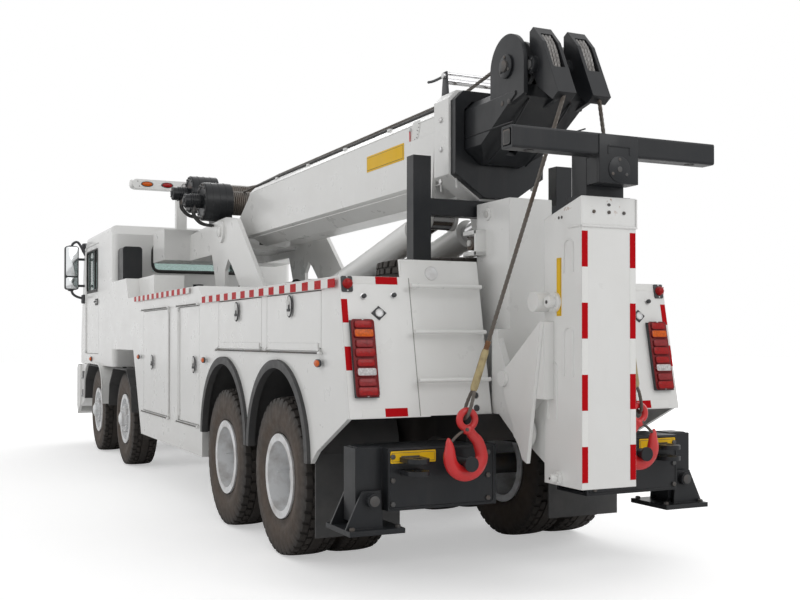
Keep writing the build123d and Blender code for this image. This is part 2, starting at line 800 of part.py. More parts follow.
drum_r = 120
gear_r = 215
drum_half = 300
gear_l = 300
motor_r = 75
motor_l = 190
cheek_t = 30
stand_half = 150
# column names: winch x, winch z
winch_table = [(960, 3080), (1530, 3230)]
winches = []
for x, z in winch_table:
    winch = rod_y(x, z, drum_r, -drum_half, drum_half)
    winch += rod_y(x, z, gear_r, drum_half + cheek_t, drum_half + gear_l)
    winch += rod_y(x, z, motor_r, drum_half + gear_l, drum_half + gear_l + motor_l)
    for y in (-drum_half - cheek_t, drum_half):
        winch += rod_y(x, z, gear_r, y, y + cheek_t)
        winch += box(x - stand_half, x + stand_half, y, y + cheek_t, winch_floor, z)
    winches.append(winch)
nodes["winches"] = Compound(children=winches)

post_y = 450
post_l = 90
post_w = 130
bar_l = 150
bar_y = 1070
bar_z = 3403
bar_t = 116
posts = box(tray_front - skin, tray_front - skin + post_l, post_y - post_w / 2, post_y + post_w / 2,
            tray_top, bar_z)
posts += mirror(posts, about=Plane.XZ)
beacon = box(tray_front - skin - post_l / 2, tray_front - skin - post_l / 2 + bar_l, -bar_y, bar_y, bar_z,
             bar_z + bar_t)
beacon = fillet(beacon.edges().filter_by(Axis.X), bar_t * 0.4)
nodes["light_bar"] = posts + beacon

tank_rear = 1120
tank_front = 1700
tank_half = 650
tank_h = 320
cap_r = 60
tank = box(tank_rear, tank_front, -tank_half, tank_half, deck_z, deck_z + tank_h)
tank = fillet(tank.edges().filter_by(Axis.Y), 40)
cap_x = (tank_rear + tank_front) / 2
tank += rod_z(cap_x, tank_half - 2 * cap_r, cap_r, deck_z + tank_h, deck_z + tank_h + cap_r)
intake_y = 900
intake_w = 240
intake_rear = 2740
intake_front = 3060
intake_top = 2700
cowl_r = 40
duct = box(intake_rear, intake_front, intake_y, intake_y + intake_w, side_box_top, intake_top)
duct = fillet(duct.edges().filter_by(Axis.X), cowl_r)
nodes["tanks"] = Compound(children=[tank, duct])

# Boom: outer box with its root ears and lift lugs, collar, inner box and sheave head
belly_half = 120
top_cut = 60
ear_t = 45
ear_r = 115
lug_t = 28
lug_r = 95
eye_w = 156
lug_root = 330


def boom_outline(grow):
    half = boom_half + grow
    top = boom_top + grow
    shoulder = top - top_cut
    low = boom_belly - grow
    return [(half, boom_side_low), (half, shoulder), (half - top_cut, top), (top_cut - half, top),
            (-half, shoulder), (-half, boom_side_low), (-belly_half, low), (belly_half, low)]


clear = boom_wall + inner_gap
inner_top = boom_top - clear


def inner_outline(grow):
    half = boom_half - clear + grow
    top = inner_top + grow
    low = inner_belly - grow
    flat = inner_belly_half
    return [(half, inner_fold), (half, top - top_cut), (half - top_cut, top), (top_cut - half, top),
            (-half, top - top_cut), (-half, inner_fold), (-flat, low), (flat, low)]


outer = bar_section(boom_outline(0), boom_end, boom_root)
outer -= bar_section(boom_outline(-boom_wall), boom_end - 1, boom_root - boom_wall)
collar = bar_section(boom_outline(collar_t), boom_end - collar_l + collar_t, boom_end + collar_t)
collar -= bar_section(boom_outline(-boom_wall), boom_end - collar_l, boom_end + collar_l)
outer += collar

# End plate of the collar, with the pad that carries the inner box
end_plate_t = 60
end_plate_in = 20
collar_rear = boom_end - collar_l + collar_t
plate_rear = collar_rear - end_plate_t
end_plate = bar_section(boom_outline(collar_t - end_plate_in), plate_rear, collar_rear)
end_plate -= bar_section(inner_outline(inner_gap), plate_rear - 1, collar_rear + 1)
end_plate += box(plate_rear, collar_rear, -belly_half, belly_half, inner_belly - 2 * inner_gap,
                 inner_belly - fit)
outer += end_plate
ear_profile = [(boom_root - boom_wall, boom_side_low), (boom_root - boom_wall, boom_top - top_cut),
               (boom_root + 60, boom_top - 2 * top_cut), (boom_pivot_x, boom_pivot_z + ear_r),
               (boom_pivot_x, boom_pivot_z - ear_r)]
for side in (1, -1):
    y0, y1 = sorted((side * (boom_half - ear_t), side * boom_half))
    outer += plate(ear_profile, y0, y1) + rod_y(boom_pivot_x, boom_pivot_z, ear_r, y0, y1)
    outer -= rod_y(boom_pivot_x, boom_pivot_z, pivot_r + fit, y0 - 1, y1 + 1)
    for edge in (-1, 1):
        near = side * lift_y + edge * (eye_w / 2 + run_gap)
        far = near + edge * lug_t
        top = boom_side_low + (lug_root if edge * side > 0 else 10)
        lug = plate([(lift_lug_x - lug_r, lift_lug_z), (lift_lug_x + lug_r, lift_lug_z),
                     (lift_lug_x + lug_root, top),
                     (lift_lug_x - lug_root / 2, top)], min(near, far), max(near, far))
        lug -= bar_section(boom_outline(-boom_wall / 2), lift_lug_x - lug_root, lift_lug_x + lug_root)
        outer += lug + rod_y(lift_lug_x, lift_lug_z, lug_r, min(near, far), max(near, far))
        boss = far + edge * lug_t / 2
        outer += rod_y(lift_lug_x, lift_lug_z, lug_r / 2, min(far, boss), max(far, boss))
nodes["boom_outer"] = outer

# Inner box with its slanted nose, sheave cheeks and the two fleet blocks
inner_front = -1700
nose_low_x = -4560
nose_end = -5140
nose_end_z = 3040
nose_wall = 40
slot_half = 32
slot_low_x = -4650
slot_high_x = -4870
pad_l = 120
cheek_y = 232
cheek_plate = 28
cheek_r = 200
cheek_x = -5030
cheek_z = 3235
cheek_foot = 2960
cheek_lean = 70
lug_hole_r = 18
lug_hole_z = 3010
sheave_r = 165
groove_r = 120
groove_w = 46
sheave_w = 100
sheave_y = 125
axle_r = 45
fleet_w = 130
fleet_wall = 24
fleet_top = 3440
fleet_front = -5185
fleet_tip_x = -5495
fleet_tip_z = 2990
fleet_pin = (-5232, 3203)
fleet_pin_r = 55
fleet_pin_out = 34
fleet_crown = 40
fleet_chamfer = 20
fleet_bend_x = 145
fleet_bend_drop = 110
fleet_lip_l = 60
fleet_lip_h = 35
fleet_heel_x = 85
fleet_heel_h = 80
fleet_back_h = 230
mouth_top_x = 70
mouth_top_drop = 60
mouth_l = 60
mouth_low_x = 170
mouth_low_h = 170
mouth_past = 20


def beyond_nose(shift):
    # The wedge under and behind the slanted nose.
    low = inner_belly - 2 * nose_wall
    return [(nose_low_x + shift, low), (nose_low_x + shift, inner_belly), (nose_end + shift, nose_end_z),
            (nose_end + shift, inner_top + nose_wall), (nose_end - boom_half, inner_top + nose_wall),
            (nose_end - boom_half, low)]


def nose_z(x):
    return inner_belly + (nose_end_z - inner_belly) * (x - nose_low_x) / (nose_end - nose_low_x)


inner = bar_section(inner_outline(0), nose_end, inner_front)
hollow = bar_section(inner_outline(-boom_wall), nose_end, inner_front - boom_wall)
hollow -= plate(beyond_nose(nose_wall), -boom_half, boom_half)
inner -= plate(beyond_nose(0), -boom_half, boom_half)
inner -= hollow
slot = [(slot_low_x, nose_z(slot_low_x) - nose_wall), (slot_low_x, nose_z(slot_low_x) + nose_wall),
        (slot_high_x, nose_z(slot_high_x) + nose_wall), (slot_high_x, nose_z(slot_high_x) - nose_wall)]
inner -= plate(slot, -slot_half, slot_half)
pad_floor = boom_belly + boom_wall + fit
inner += box(inner_front - pad_l, inner_front, inner_gap - belly_half, belly_half - inner_gap, pad_floor,
             inner_belly + 1)
inner += box(inner_front - pad_l, inner_front, -belly_half, belly_half, inner_top - 1,
             boom_top - boom_wall - fit)
cheek_profile = [(cheek_x + cheek_r, cheek_z), (cheek_x + cheek_r, cheek_foot + cheek_lean),
                 (cheek_x + cheek_r - cheek_lean, cheek_foot), (cheek_x - cheek_r, cheek_foot + cheek_lean),
                 (cheek_x - cheek_r, cheek_z)]
for y in (-cheek_y - cheek_plate, -cheek_plate / 2, cheek_y):
    inner += plate(cheek_profile, y, y + cheek_plate) + rod_y(cheek_x, cheek_z, cheek_r, y, y + cheek_plate)
for x in (cheek_x + cheek_r / 2, cheek_x):
    for y in (-cheek_y - cheek_plate, cheek_y + boom_wall):
        inner -= rod_y(x, lug_hole_z, lug_hole_r, y - 1, y + cheek_plate - boom_wall + 1)
inner += rod_y(cheek_x, cheek_z, axle_r, -cheek_y - 1, cheek_y + 1)
fleet_profile = [(fleet_front, fleet_top - fleet_chamfer), (fleet_front - fleet_crown, fleet_top),
                 (fleet_front - fleet_bend_x, fleet_top - fleet_bend_drop),
                 (fleet_tip_x, fleet_tip_z), (fleet_tip_x + fleet_lip_l, fleet_tip_z - fleet_lip_h),
                 (fleet_front - fleet_heel_x, fleet_tip_z + fleet_heel_h),
                 (fleet_front, fleet_tip_z + fleet_back_h)]
mouth_profile = [(fleet_front - mouth_top_x, fleet_top - mouth_top_drop),
                 (fleet_front - mouth_top_x - mouth_l, fleet_top), (fleet_tip_x - mouth_past, fleet_top),
                 (fleet_tip_x - mouth_past, fleet_tip_z + mouth_low_h),
                 (fleet_front - mouth_low_x, fleet_tip_z + mouth_low_h)]
for y in (sheave_y, -sheave_y):
    sheave = rod_y(cheek_x, cheek_z, sheave_r, y - sheave_w / 2, y + sheave_w / 2)
    sheave -= ring_y(cheek_x, cheek_z, 2 * sheave_r, groove_r, y - groove_w / 2, y + groove_w / 2)
    inner += sheave
    fleet = plate(fleet_profile, y - fleet_w / 2, y + fleet_w / 2)
    fleet -= plate(mouth_profile, y - fleet_w / 2 + fleet_wall, y + fleet_w / 2 - fleet_wall)
    fleet += rod_y(*fleet_pin, fleet_pin_r, y - fleet_w / 2 - fleet_pin_out, y + fleet_w / 2 + fleet_pin_out)
    inner += fleet
nodes["boom_inner"] = inner

# Lift cylinders, built along local +X from the lower pin towards the lug
lift_run = math.hypot(lift_lug_x - lift_low_x, lift_lug_z - lift_low_z)
lift_turn = math.degrees(math.atan2(lift_lug_z - lift_low_z, lift_low_x - lift_lug_x))
barrel_eye_r = 90
barrel_start = 130
barrel_end = lift_run - 330
barrel_wall = 20
gland_l = 90
rod_stroke = 1560
rod_in = barrel_end - rod_stroke
eye_at = Pos(lift_low_x, 0, lift_low_z) * Rot(0, 180 + lift_turn, 0)


def lift_barrel(y):
    part = rod_x(0, 0, barrel_r, barrel_start, barrel_end)
    part -= rod_x(0, 0, barrel_r - barrel_wall, barrel_start + barrel_wall, barrel_end - gland_l)
    part -= rod_x(0, 0, rod_r + fit, barrel_end - gland_l - 1, barrel_end + 1)
    part += rod_y(0, 0, barrel_eye_r, -eye_w / 2, eye_w / 2)
    part += box(0, barrel_start + barrel_wall, -eye_w / 2, eye_w / 2, -barrel_eye_r, barrel_eye_r)
    part -= rod_y(0, 0, lift_pin_r + fit, -eye_w, eye_w)
    return Pos(0, y, 0) * eye_at * part


def lift_rod(y):
    part = rod_x(0, 0, rod_r, rod_in, lift_run - lug_r / 2)
    part += rod_y(lift_run, 0, lug_r - run_gap, -eye_w / 2, eye_w / 2)
    part -= rod_y(lift_run, 0, lift_pin_r + fit, -eye_w, eye_w)
    return Pos(0, y, 0) * eye_at * part


nodes["lift_barrels"] = Compound(children=[lift_barrel(lift_y), lift_barrel(-lift_y)])
nodes["lift_rods"] = Compound(children=[lift_rod(lift_y), lift_rod(-lift_y)])

# Boom rest and spare tyre
rest_x = -4405
rest_l = 100
rest_y = 560
rest_w = 130
rest_top = 2750
rest_bar_h = 110
rest_bar_top = boom_belly - collar_t - fit
rest = box(rest_x - rest_l / 2, rest_x + rest_l / 2, rest_y - rest_w / 2, rest_y + rest_w / 2, deck_z,
           rest_top)
rest += mirror(rest, about=Plane.XZ)
rest += box(rest_x - rest_l / 2, rest_x + rest_l / 2, -rest_y, rest_y, rest_bar_top - rest_bar_h,
            rest_bar_top)
nodes["boom_rest"] = rest

spare_x = -3830
nodes["spare_tyre"] = Pos(spare_x, 0, deck_z + tyre_w / 2) * Rot(90, 0, 0) * Pos(0, 0, -wheel_z) * tyre(0, 0)

# Mast with the hinge lugs of the underlift
lug_in = 205
lug_out = 245
mast_wall = 20
lug_boss = 95
mast = box(mast_rear, mast_front, -mast_half, mast_half, rail_top, mast_top)
mast -= box(mast_rear + mast_wall, mast_front - mast_wall, -mast_half + mast_wall, mast_half - mast_wall,
            rail_top - 1, mast_top - mast_wall)
lug_h = 540
mast += box(mast_rear, mast_rear + 4 * mast_wall, -lug_out, lug_out, rail_top, rail_top + lug_h)
for side in (1, -1):
    y0, y1 = sorted((side * lug_in, side * lug_out))
    mast += plate([(mast_rear + mast_wall, rail_top + mast_wall),
                   (mast_rear + mast_wall, rail_top + lug_h - mast_wall),
                   (arm_pivot_x + 40, arm_pivot_z + 80), (arm_pivot_x, arm_pivot_z - lug_boss)], y0, y1)
    mast += rod_y(arm_pivot_x, arm_pivot_z, lug_boss, y0, y1)
    mast -= rod_y(arm_pivot_x, arm_pivot_z, arm_pin_r + fit, y0 - 1, y1 + 1)
nodes["mast"] = mast

# Underlift arm with its knee and side plates, folded upright
arm_front = arm_rear + arm_depth
cheek_in = 260
cheek_out = 285
knee_half = 185
slide_gap = 6
slide_depth = 158
fold_a = (-4975, 1300)
fold_b = (-5445, 1640)
fold_c = (-5295, 790)
ear_b = (-5365, 1757)
ear_b_r = 60
fold_pin = (-5035, 1290)
fold_pin_r = 50
boss_t = 20
top_slope = 100
knee_low = arm_pivot_z - 180
knee_high = arm_pivot_z + 210
brace_top = fold_b[1] - 80
arm = plate([(arm_rear, arm_low), (arm_front, arm_low), (arm_front, arm_high - top_slope),
             (arm_rear, arm_high)],
            -arm_half, arm_half)
slide_x0 = arm_rear + arm_wall + slide_gap
slide_x1 = slide_x0 + slide_depth
arm_in = arm_half - arm_wall
divider = slide_x1 + slide_gap
arm -= box(arm_rear + arm_wall, divider, -arm_in, arm_in, arm_low + arm_wall, arm_high + 1)
arm -= box(divider + arm_wall, arm_front - arm_wall, -arm_in, arm_in, arm_low - 1,
           arm_high - top_slope - arm_wall)
arm += plate([(arm_front - 1, knee_low), (arm_front - 1, knee_high), (arm_pivot_x, arm_pivot_z + lug_boss),
              (arm_pivot_x, arm_pivot_z - lug_boss)], -knee_half, knee_half)
arm += rod_y(arm_pivot_x, arm_pivot_z, lug_boss, -knee_half, knee_half)
arm += rod_y(arm_pivot_x, arm_pivot_z, arm_pin_r, -cheek_out, cheek_out)
for side in (1, -1):
    y0, y1 = sorted((side * cheek_in, side * cheek_out))
    arm += plate([fold_a, fold_b, fold_c, (fold_c[0] + fold_pin_r, fold_c[1] + boss_t)], y0, y1)
    y0, y1 = sorted((side * (arm_half - 1), side * cheek_in))
    arm += plate([(fold_b[0], knee_high), fold_b, (arm_front - slide_gap, brace_top),
                  (arm_front - slide_gap, knee_high)],
                 y0, y1)
    y0, y1 = sorted((side * (arm_half - 1), side * cheek_out))
    arm += rod_y(*ear_b, ear_b_r, y0, y1)
    y0, y1 = sorted((side * cheek_out, side * (cheek_out + boss_t)))
    arm += rod_y(*fold_pin, fold_pin_r, y0, y1)
nodes["underlift_arm"] = arm

slide_half = arm_in - slide_gap
slide_low = 900
head_block_half = 130
block_rear = arm_rear + 35
block_front = slide_x1
block_top = bar_high - 20
swivel_r = 45
slider = box(slide_x0, slide_x1, -slide_half, slide_half, slide_low, arm_high + 5)
pad = slide_gap - fit
for z in (slide_low, arm_high - 160):
    slider += box(slide_x0 - pad, slide_x1 + pad, -slide_half - pad, slide_half + pad, z, z + pad_l)
slider += box(block_rear, block_front, -head_block_half, head_block_half, arm_high, block_top)
slider -= rod_x(0, bar_pivot_z, swivel_r + fit, block_rear - 1, block_front + 1)
nodes["arm_slider"] = slider

bar_depth = 115
bar_front = bar_rear + bar_depth
disc_r = 72
disc_out = 15
bar_edge = 14
bracket_half = 135
bracket_drop = 80
swing = box(bar_rear, bar_front, -bar_half, bar_half, bar_low, bar_high)
swing = fillet(swing.edges().filter_by(Axis.Y), bar_edge)
swing -= box(bar_rear + arm_wall, bar_front - arm_wall, -bar_half - 1, bar_half + 1,
             bar_low + arm_wall, bar_high - arm_wall)
swing += box(bar_rear + disc_out, bar_front, -bracket_half, bracket_half, bar_pivot_z - bracket_drop,
             bar_high - bar_edge)
swing += rod_x(0, bar_pivot_z, disc_r, bar_rear, bar_rear + disc_out + 1)
swing += rod_x(0, bar_pivot_z, swivel_r, bar_rear + disc_out, block_front)
nodes["crossbar"] = swing

# Rear beams with leg sleeves, tow clevises and hook bars
sleeve_y = beam_outer + leg_half + leg_wall - 2
sleeve_x = (beam_front + beam_rear) / 2
sleeve_low = 450
sleeve_top = beam_top
clevis_x = beam_rear - 100
clevis_out = 70
ear_low = 735
ear_gap = 45
ear_plate = 28
hook_bar_r = 30
hook_bar_z = 800
hook_bar_l = 235
beam_wall = 20
sleeve_half = leg_half + leg_wall
beam = box(beam_rear, beam_front, beam_inner, beam_outer, beam_low, beam_top)
beam -= box(beam_rear + beam_wall, beam_front - beam_wall, beam_inner - 1, beam_outer - beam_wall,
            beam_low + beam_wall, beam_top - beam_wall)
beam += box(sleeve_x - sleeve_half, sleeve_x + sleeve_half, sleeve_y - sleeve_half, sleeve_y + sleeve_half,
            sleeve_low, sleeve_top)
beam -= box(sleeve_x - leg_half, sleeve_x + leg_half, sleeve_y - leg_half, sleeve_y + leg_half,
            sleeve_low - 1, sleeve_top + 1)
for z in (ear_low, ear_low + ear_plate + ear_gap):
    ear = rod_z(clevis_x, clevis_y, clevis_out, z, z + ear_plate)
    ear += box(clevis_x, beam_rear + 1, clevis_y - clevis_out, clevis_y + clevis_out, z, z + ear_plate)
    beam += ear - rod_z(clevis_x, clevis_y, clevis_r, z - 1, z + ear_plate + 1)
beam += rod_x(hook_y, hook_bar_z, hook_bar_r, beam_rear - hook_bar_l, beam_rear + 1)
beam += rod_x(hook_y, hook_bar_z, hook_bar_r * 1.5, beam_rear - hook_bar_l, beam_rear - hook_bar_l + 15)
nodes["rear_beams"] = both(beam)

leg_in = leg_half - fit
foot_half_x = 190
foot_in = 190
foot_out = 165
foot_t = 30
gusset_t = 16
gusset_x = sleeve_half + gusset_t + run_gap
gusset_top = 640
gusset_half = 60
gusset_in = sleeve_y - beam_outer - 2 * run_gap
foot_pin_z = 585
foot_pin_r = 42
foot_pin_l = 60
leg = box(sleeve_x - leg_in, sleeve_x + leg_in, sleeve_y - leg_in, sleeve_y + leg_in, foot_z,
          sleeve_top + run_gap)
leg += box(sleeve_x - foot_half_x, sleeve_x + foot_half_x, sleeve_y - foot_in, sleeve_y + foot_out,
           foot_z - foot_t, foot_z)
gusset_profile = [(sleeve_y - gusset_in, foot_z - 1), (sleeve_y + foot_out, foot_z - 1),
                  (sleeve_y + gusset_half, gusset_top),
                  (sleeve_y - gusset_half, gusset_top)]
for side in (1, -1):
    x0, x1 = sorted((sleeve_x + side * gusset_x, sleeve_x + side * (gusset_x + gusset_t)))
    leg += bar_section(gusset_profile, x0, x1)
    pin_end = sleeve_x + side * (gusset_x + foot_pin_l)
    leg += rod_x(sleeve_y, foot_pin_z, foot_pin_r, min(x0, pin_end), max(x1, pin_end))
for letter, side in (("l", 1), ("r", -1)):
    nodes[f"stabiliser_{letter}"] = side_of(leg, side)

# Hooks that hang on their bars
hook_x = beam_rear - hook_bar_l / 2 - 40
hook_bowl = 75
hook_thick = 36
shank_l = 14
hook_z = hook_bar_z + hook_bowl - hook_bar_r - fit
hook_major = hook_bowl + hook_thick
eye_major = 52
eye_minor = 22
eye_z = hook_z + hook_major + hook_thick + shank_l + eye_major
hook = Pos(hook_x, hook_y, hook_z) * Rot(0, 90, 0) * Torus(hook_major, hook_thick)
mouth_z = hook_z + 30
hook -= box(hook_x - 2 * hook_thick, hook_x + 2 * hook_thick, hook_y + run_gap, hook_y + 2 * hook_major,
            mouth_z, hook_z + 2 * hook_major)
hook += rod_z(hook_x, hook_y - 10, hook_thick * 0.85, hook_z + hook_bowl + hook_thick / 2, eye_z - eye_major)
hook += Pos(hook_x, hook_y - 10, eye_z) * Rot(0, 90, 0) * Torus(eye_major, eye_minor)
nodes["hooks"] = both(hook)

os.makedirs("parts", exist_ok=True)
for node, solid in nodes.items():
    export_step(solid, f"parts/{node}.step")
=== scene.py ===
import bpy
import bmesh
import json
import math
from mathutils import Matrix, Vector

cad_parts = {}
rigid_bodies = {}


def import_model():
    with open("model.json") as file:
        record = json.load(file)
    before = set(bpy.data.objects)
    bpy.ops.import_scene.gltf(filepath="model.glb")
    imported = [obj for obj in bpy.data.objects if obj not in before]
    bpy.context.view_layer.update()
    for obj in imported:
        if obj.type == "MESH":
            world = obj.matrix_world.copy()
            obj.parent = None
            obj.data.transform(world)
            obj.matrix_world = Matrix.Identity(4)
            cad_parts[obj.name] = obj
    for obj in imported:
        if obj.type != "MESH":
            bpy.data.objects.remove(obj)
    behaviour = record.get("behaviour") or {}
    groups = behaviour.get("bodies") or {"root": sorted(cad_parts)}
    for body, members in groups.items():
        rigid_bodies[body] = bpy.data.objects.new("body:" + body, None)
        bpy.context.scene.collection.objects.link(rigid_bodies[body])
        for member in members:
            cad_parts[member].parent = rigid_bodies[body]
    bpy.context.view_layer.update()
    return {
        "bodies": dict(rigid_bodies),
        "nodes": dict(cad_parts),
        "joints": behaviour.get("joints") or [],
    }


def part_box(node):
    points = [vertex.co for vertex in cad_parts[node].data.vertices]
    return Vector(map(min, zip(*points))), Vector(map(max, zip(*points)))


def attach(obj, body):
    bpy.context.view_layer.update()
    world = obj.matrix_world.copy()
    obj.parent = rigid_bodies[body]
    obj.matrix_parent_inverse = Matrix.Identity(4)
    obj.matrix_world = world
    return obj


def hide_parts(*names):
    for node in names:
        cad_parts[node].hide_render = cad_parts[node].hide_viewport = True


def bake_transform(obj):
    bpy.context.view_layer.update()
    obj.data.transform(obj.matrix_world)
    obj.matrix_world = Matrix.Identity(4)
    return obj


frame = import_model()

nodes = frame["nodes"]
bodies = frame["bodies"]
jointAt = {joint["name"]: joint.get("pos_m") for joint in frame["joints"]}
scene = bpy.context.scene
sideTag = {1: "L", -1: "R"}
print("frame loaded", len(nodes), "nodes")


# mesh helpers: each one adds to an open bmesh, makePiece closes it
def addRing(bm, centre, first, second, steps):
    # corners about a centre, on two half-axes
    turns = [2 * math.pi * step / steps for step in range(steps)]
    return [bm.verts.new(centre + first * math.cos(turn) + second * math.sin(turn)) for turn in turns]


def skinRings(bm, rings, mat=0, closed=False):
    # faces from ring to ring, with a cap at each end of an open run
    made = []
    following = rings[1:] + rings[:1] if closed else rings[1:]
    for first, second in zip(rings, following):
        for step in range(len(first)):
            after = (step + 1) % len(first)
            made.append(bm.faces.new((first[step], first[after], second[after], second[step])))
    if not closed:
        made += [bm.faces.new(list(reversed(rings[0]))), bm.faces.new(rings[-1])]
    for face in made:
        face.material_index = mat
    return made


def softenEdges(bm, faces, bevel):
    edges = {edge for face in faces for edge in face.edges}
    bmesh.ops.bevel(bm, geom=list(edges), offset=bevel, segments=2, affect="EDGES", profile=0.6)


def addBox(bm, corner, opposite, mat=0, bevel=0.0):
    low = Vector([min(pair) for pair in zip(corner, opposite)])
    high = Vector([max(pair) for pair in zip(corner, opposite)])
    made = bmesh.ops.create_cube(bm, size=1.0)["verts"]
    place = Matrix.Translation((low + high) / 2) @ Matrix.Diagonal((*(high - low), 1.0))
    bmesh.ops.transform(bm, matrix=place, verts=made)
    faces = {face for vert in made for face in vert.link_faces}
    for face in faces:
        face.material_index = mat
    if bevel:
        softenEdges(bm, faces, bevel)


def addLathe(bm, profile, centre, axis, steps=32, mat=0, closed=False):
    # profile rows are (along the axis, radius)
    along = Vector(axis).normalized()
    side = along.orthogonal().normalized()
    other = along.cross(side)
    rings = [addRing(bm, Vector(centre) + along * reach, side * radius, other * radius, steps)
             for reach, radius in profile]
    skinRings(bm, rings, mat, closed)


def addRod(bm, start, end, radius, mat=0, steps=16, bevel=0.0):
    start, end = Vector(start), Vector(end)
    run = (end - start).length
    rows = [(0, radius), (run, radius)]
    if bevel:
        rows = [(0, radius - bevel), (bevel, radius), (run - bevel, radius), (run, radius - bevel)]
    addLathe(bm, rows, start, end - start, steps, mat)


def waysAlong(points):
    # the direction of a line at each of its points
    last = len(points) - 1
    return [(points[min(i + 1, last)] - points[max(i - 1, 0)]).normalized() for i in range(len(points))]


def addTube(bm, points, radius, mat=0, steps=10):
    # a round tube along a list of points
    points = [Vector(p) for p in points]
    up = Vector((0.13, 0.21, 0.97))  # no tube runs this way
    rings = []
    for spot, way in zip(points, waysAlong(points)):
        side = way.cross(up).normalized()
        rings.append(addRing(bm, spot, side * radius, side.cross(way) * radius, steps))
    skinRings(bm, rings, mat)


def addPrism(bm, outline, depth, mat=0, bevel=0.0):
    # outline is a ring of 3-D points, pushed along depth
    near = [bm.verts.new(p) for p in outline]
    far = [bm.verts.new(Vector(p) + Vector(depth)) for p in outline]
    made = skinRings(bm, [near, far], mat)
    if bevel:
        softenEdges(bm, made, bevel)


def smoothLine(points, count):
    # a smooth line through a few points
    points = [Vector(p) for p in points]
    ends = [points[0]] + points + [points[-1]]
    spots = []
    for i in range(1, len(ends) - 2):
        a, b, c, d = ends[i - 1:i + 3]
        for step in range(count):
            t = step / count
            spots.append(0.5 * (2 * b + (c - a) * t + (2 * a - 5 * b + 4 * c - d) * t * t
                                + (3 * b - a - 3 * c + d) * t ** 3))
    return spots + [points[-1]]


def roundedRing(corners, radius, steps=5):
    # a closed line through flat corners with each one rounded
    count = len(corners)
    line = []
    for i in range(count):
        spot = Vector(corners[i])
        before = (Vector(corners[i - 1]) - spot).normalized() * radius
        after = (Vector(corners[(i + 1) % count]) - spot).normalized() * radius
        for step in range(steps + 1):
            t = step / steps
            line.append((spot + before) * (1 - t) ** 2 + spot * 2 * t * (1 - t) + (spot + after) * t ** 2)
    return line + [line[0]]


def faceAxes(outward):
    # a face's normal, its wide way and its tall way
    normal = Vector(outward).normalized()
    wide = Vector((0, 0, 1)).cross(normal).normalized()
    return normal, wide, normal.cross(wide)


def addOval(bm, centre, outward, half, rows, mat=0, steps=32):
    # half is (wide, tall), rows are (out from the face, scale)
    normal, wide, tall = faceAxes(outward)
    rings = [addRing(bm, Vector(centre) + normal * out, wide * half[0] * scale, tall * half[1] * scale, steps)
             for out, scale in rows]
    skinRings(bm, rings, mat)


def addBoss(bm, spot, outward, radius, form, mat=0, steps=32, seat=-0.001):
    # a round head: form is (edge, top, share of the radius on top)
    edge, top, share = form
    addOval(bm, spot, outward, (radius, radius), [(seat, 1), (edge, 1), (top, share)], mat, steps)


def addDisc(bm, spot, outward, radius, thick, mat=0, steps=32):
    addOval(bm, spot, outward, (radius, radius), [(-0.001, 1), (thick, 1)], mat, steps)


def boltRing(bm, centre, outward, circle, count, radius, form, mat=1, start=0.0):
    # six-sided heads on a circle, the first one at start degrees
    x, y, z = centre
    for step in range(count):
        turn = math.radians(start) + 2 * math.pi * step / count
        across, up = circle * math.cos(turn), circle * math.sin(turn)
        spot = (x + across, y, z + up) if outward[1] else (x, y + across, z + up)
        addBoss(bm, spot, outward, radius, form, mat, 6)


def addPlate(bm, centre, outward, size, thick, mat=0, bevel=0.0, corner=0.0):
    # a flat plate on a face, size is (wide, tall), its back 1 mm under the face
    normal, wide, tall = faceAxes(outward)
    halfWide, halfTall = size[0] / 2, size[1] / 2
    steps = 5 if corner else 1
    spots = []
    for signW, signT, first in ((1, 1, 0), (-1, 1, 1), (-1, -1, 2), (1, -1, 3)):
        for step in range(steps):
            turn = math.pi / 2 * (first + step / max(1, steps - 1))
            bend = Vector((math.cos(turn), math.sin(turn))) * corner
            spots.append((signW * (halfWide - corner) + bend.x, signT * (halfTall - corner) + bend.y))
    ring = [Vector(centre) - normal * 0.001 + wide * w + tall * t for w, t in spots]
    addPrism(bm, ring, normal * (thick + 0.001), mat, bevel)


def addSign(bm, centre, outward, size, form):
    # a blank sign with a thin border: form is (thick, bevel, corner), then (narrower, lower, thick) twice
    (thick, bevel, corner), *steps = form
    addPlate(bm, centre, outward, size, thick, 0, bevel, corner)
    for mat, (narrower, lower, stepThick) in zip((1, 0), steps):
        addPlate(bm, centre, outward, (size[0] - narrower, size[1] - lower), stepThick, mat)


def addTape(bm, start, end, outward, tall, pieceLong):
    # reflective tape in turns of red and white along a line
    start, end = Vector(start), Vector(end)
    run = end - start
    count = max(1, round(run.length / pieceLong))
    lift = Vector(outward).normalized()
    across = lift.cross(run.normalized()) * tall / 2
    for i in range(count):
        near = start + run * (i / count) - lift * 0.001
        far = start + run * ((i + 1) / count) - lift * 0.001
        addPrism(bm, [near - across, far - across, far + across, near + across], lift * 0.0028, i % 2)


def midOf(pair):
    return sum(pair) / 2


def spanOf(pair):
    return abs(pair[1] - pair[0])


def makePiece(bm, name, body, mats, smoothAngle=35.0, place=None):
    bmesh.ops.recalc_face_normals(bm, faces=bm.faces)
    mesh = bpy.data.meshes.new(name)
    bm.to_mesh(mesh)
    bm.free()
    for mat in mats:
        mesh.materials.append(mat)
    for face in mesh.polygons:
        face.use_smooth = True
    mesh.set_sharp_from_angle(angle=math.radians(smoothAngle))
    piece = bpy.data.objects.new(name, mesh)
    scene.collection.objects.link(piece)
    if place is not None:
        piece.location = place
    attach(piece, body)
    return piece


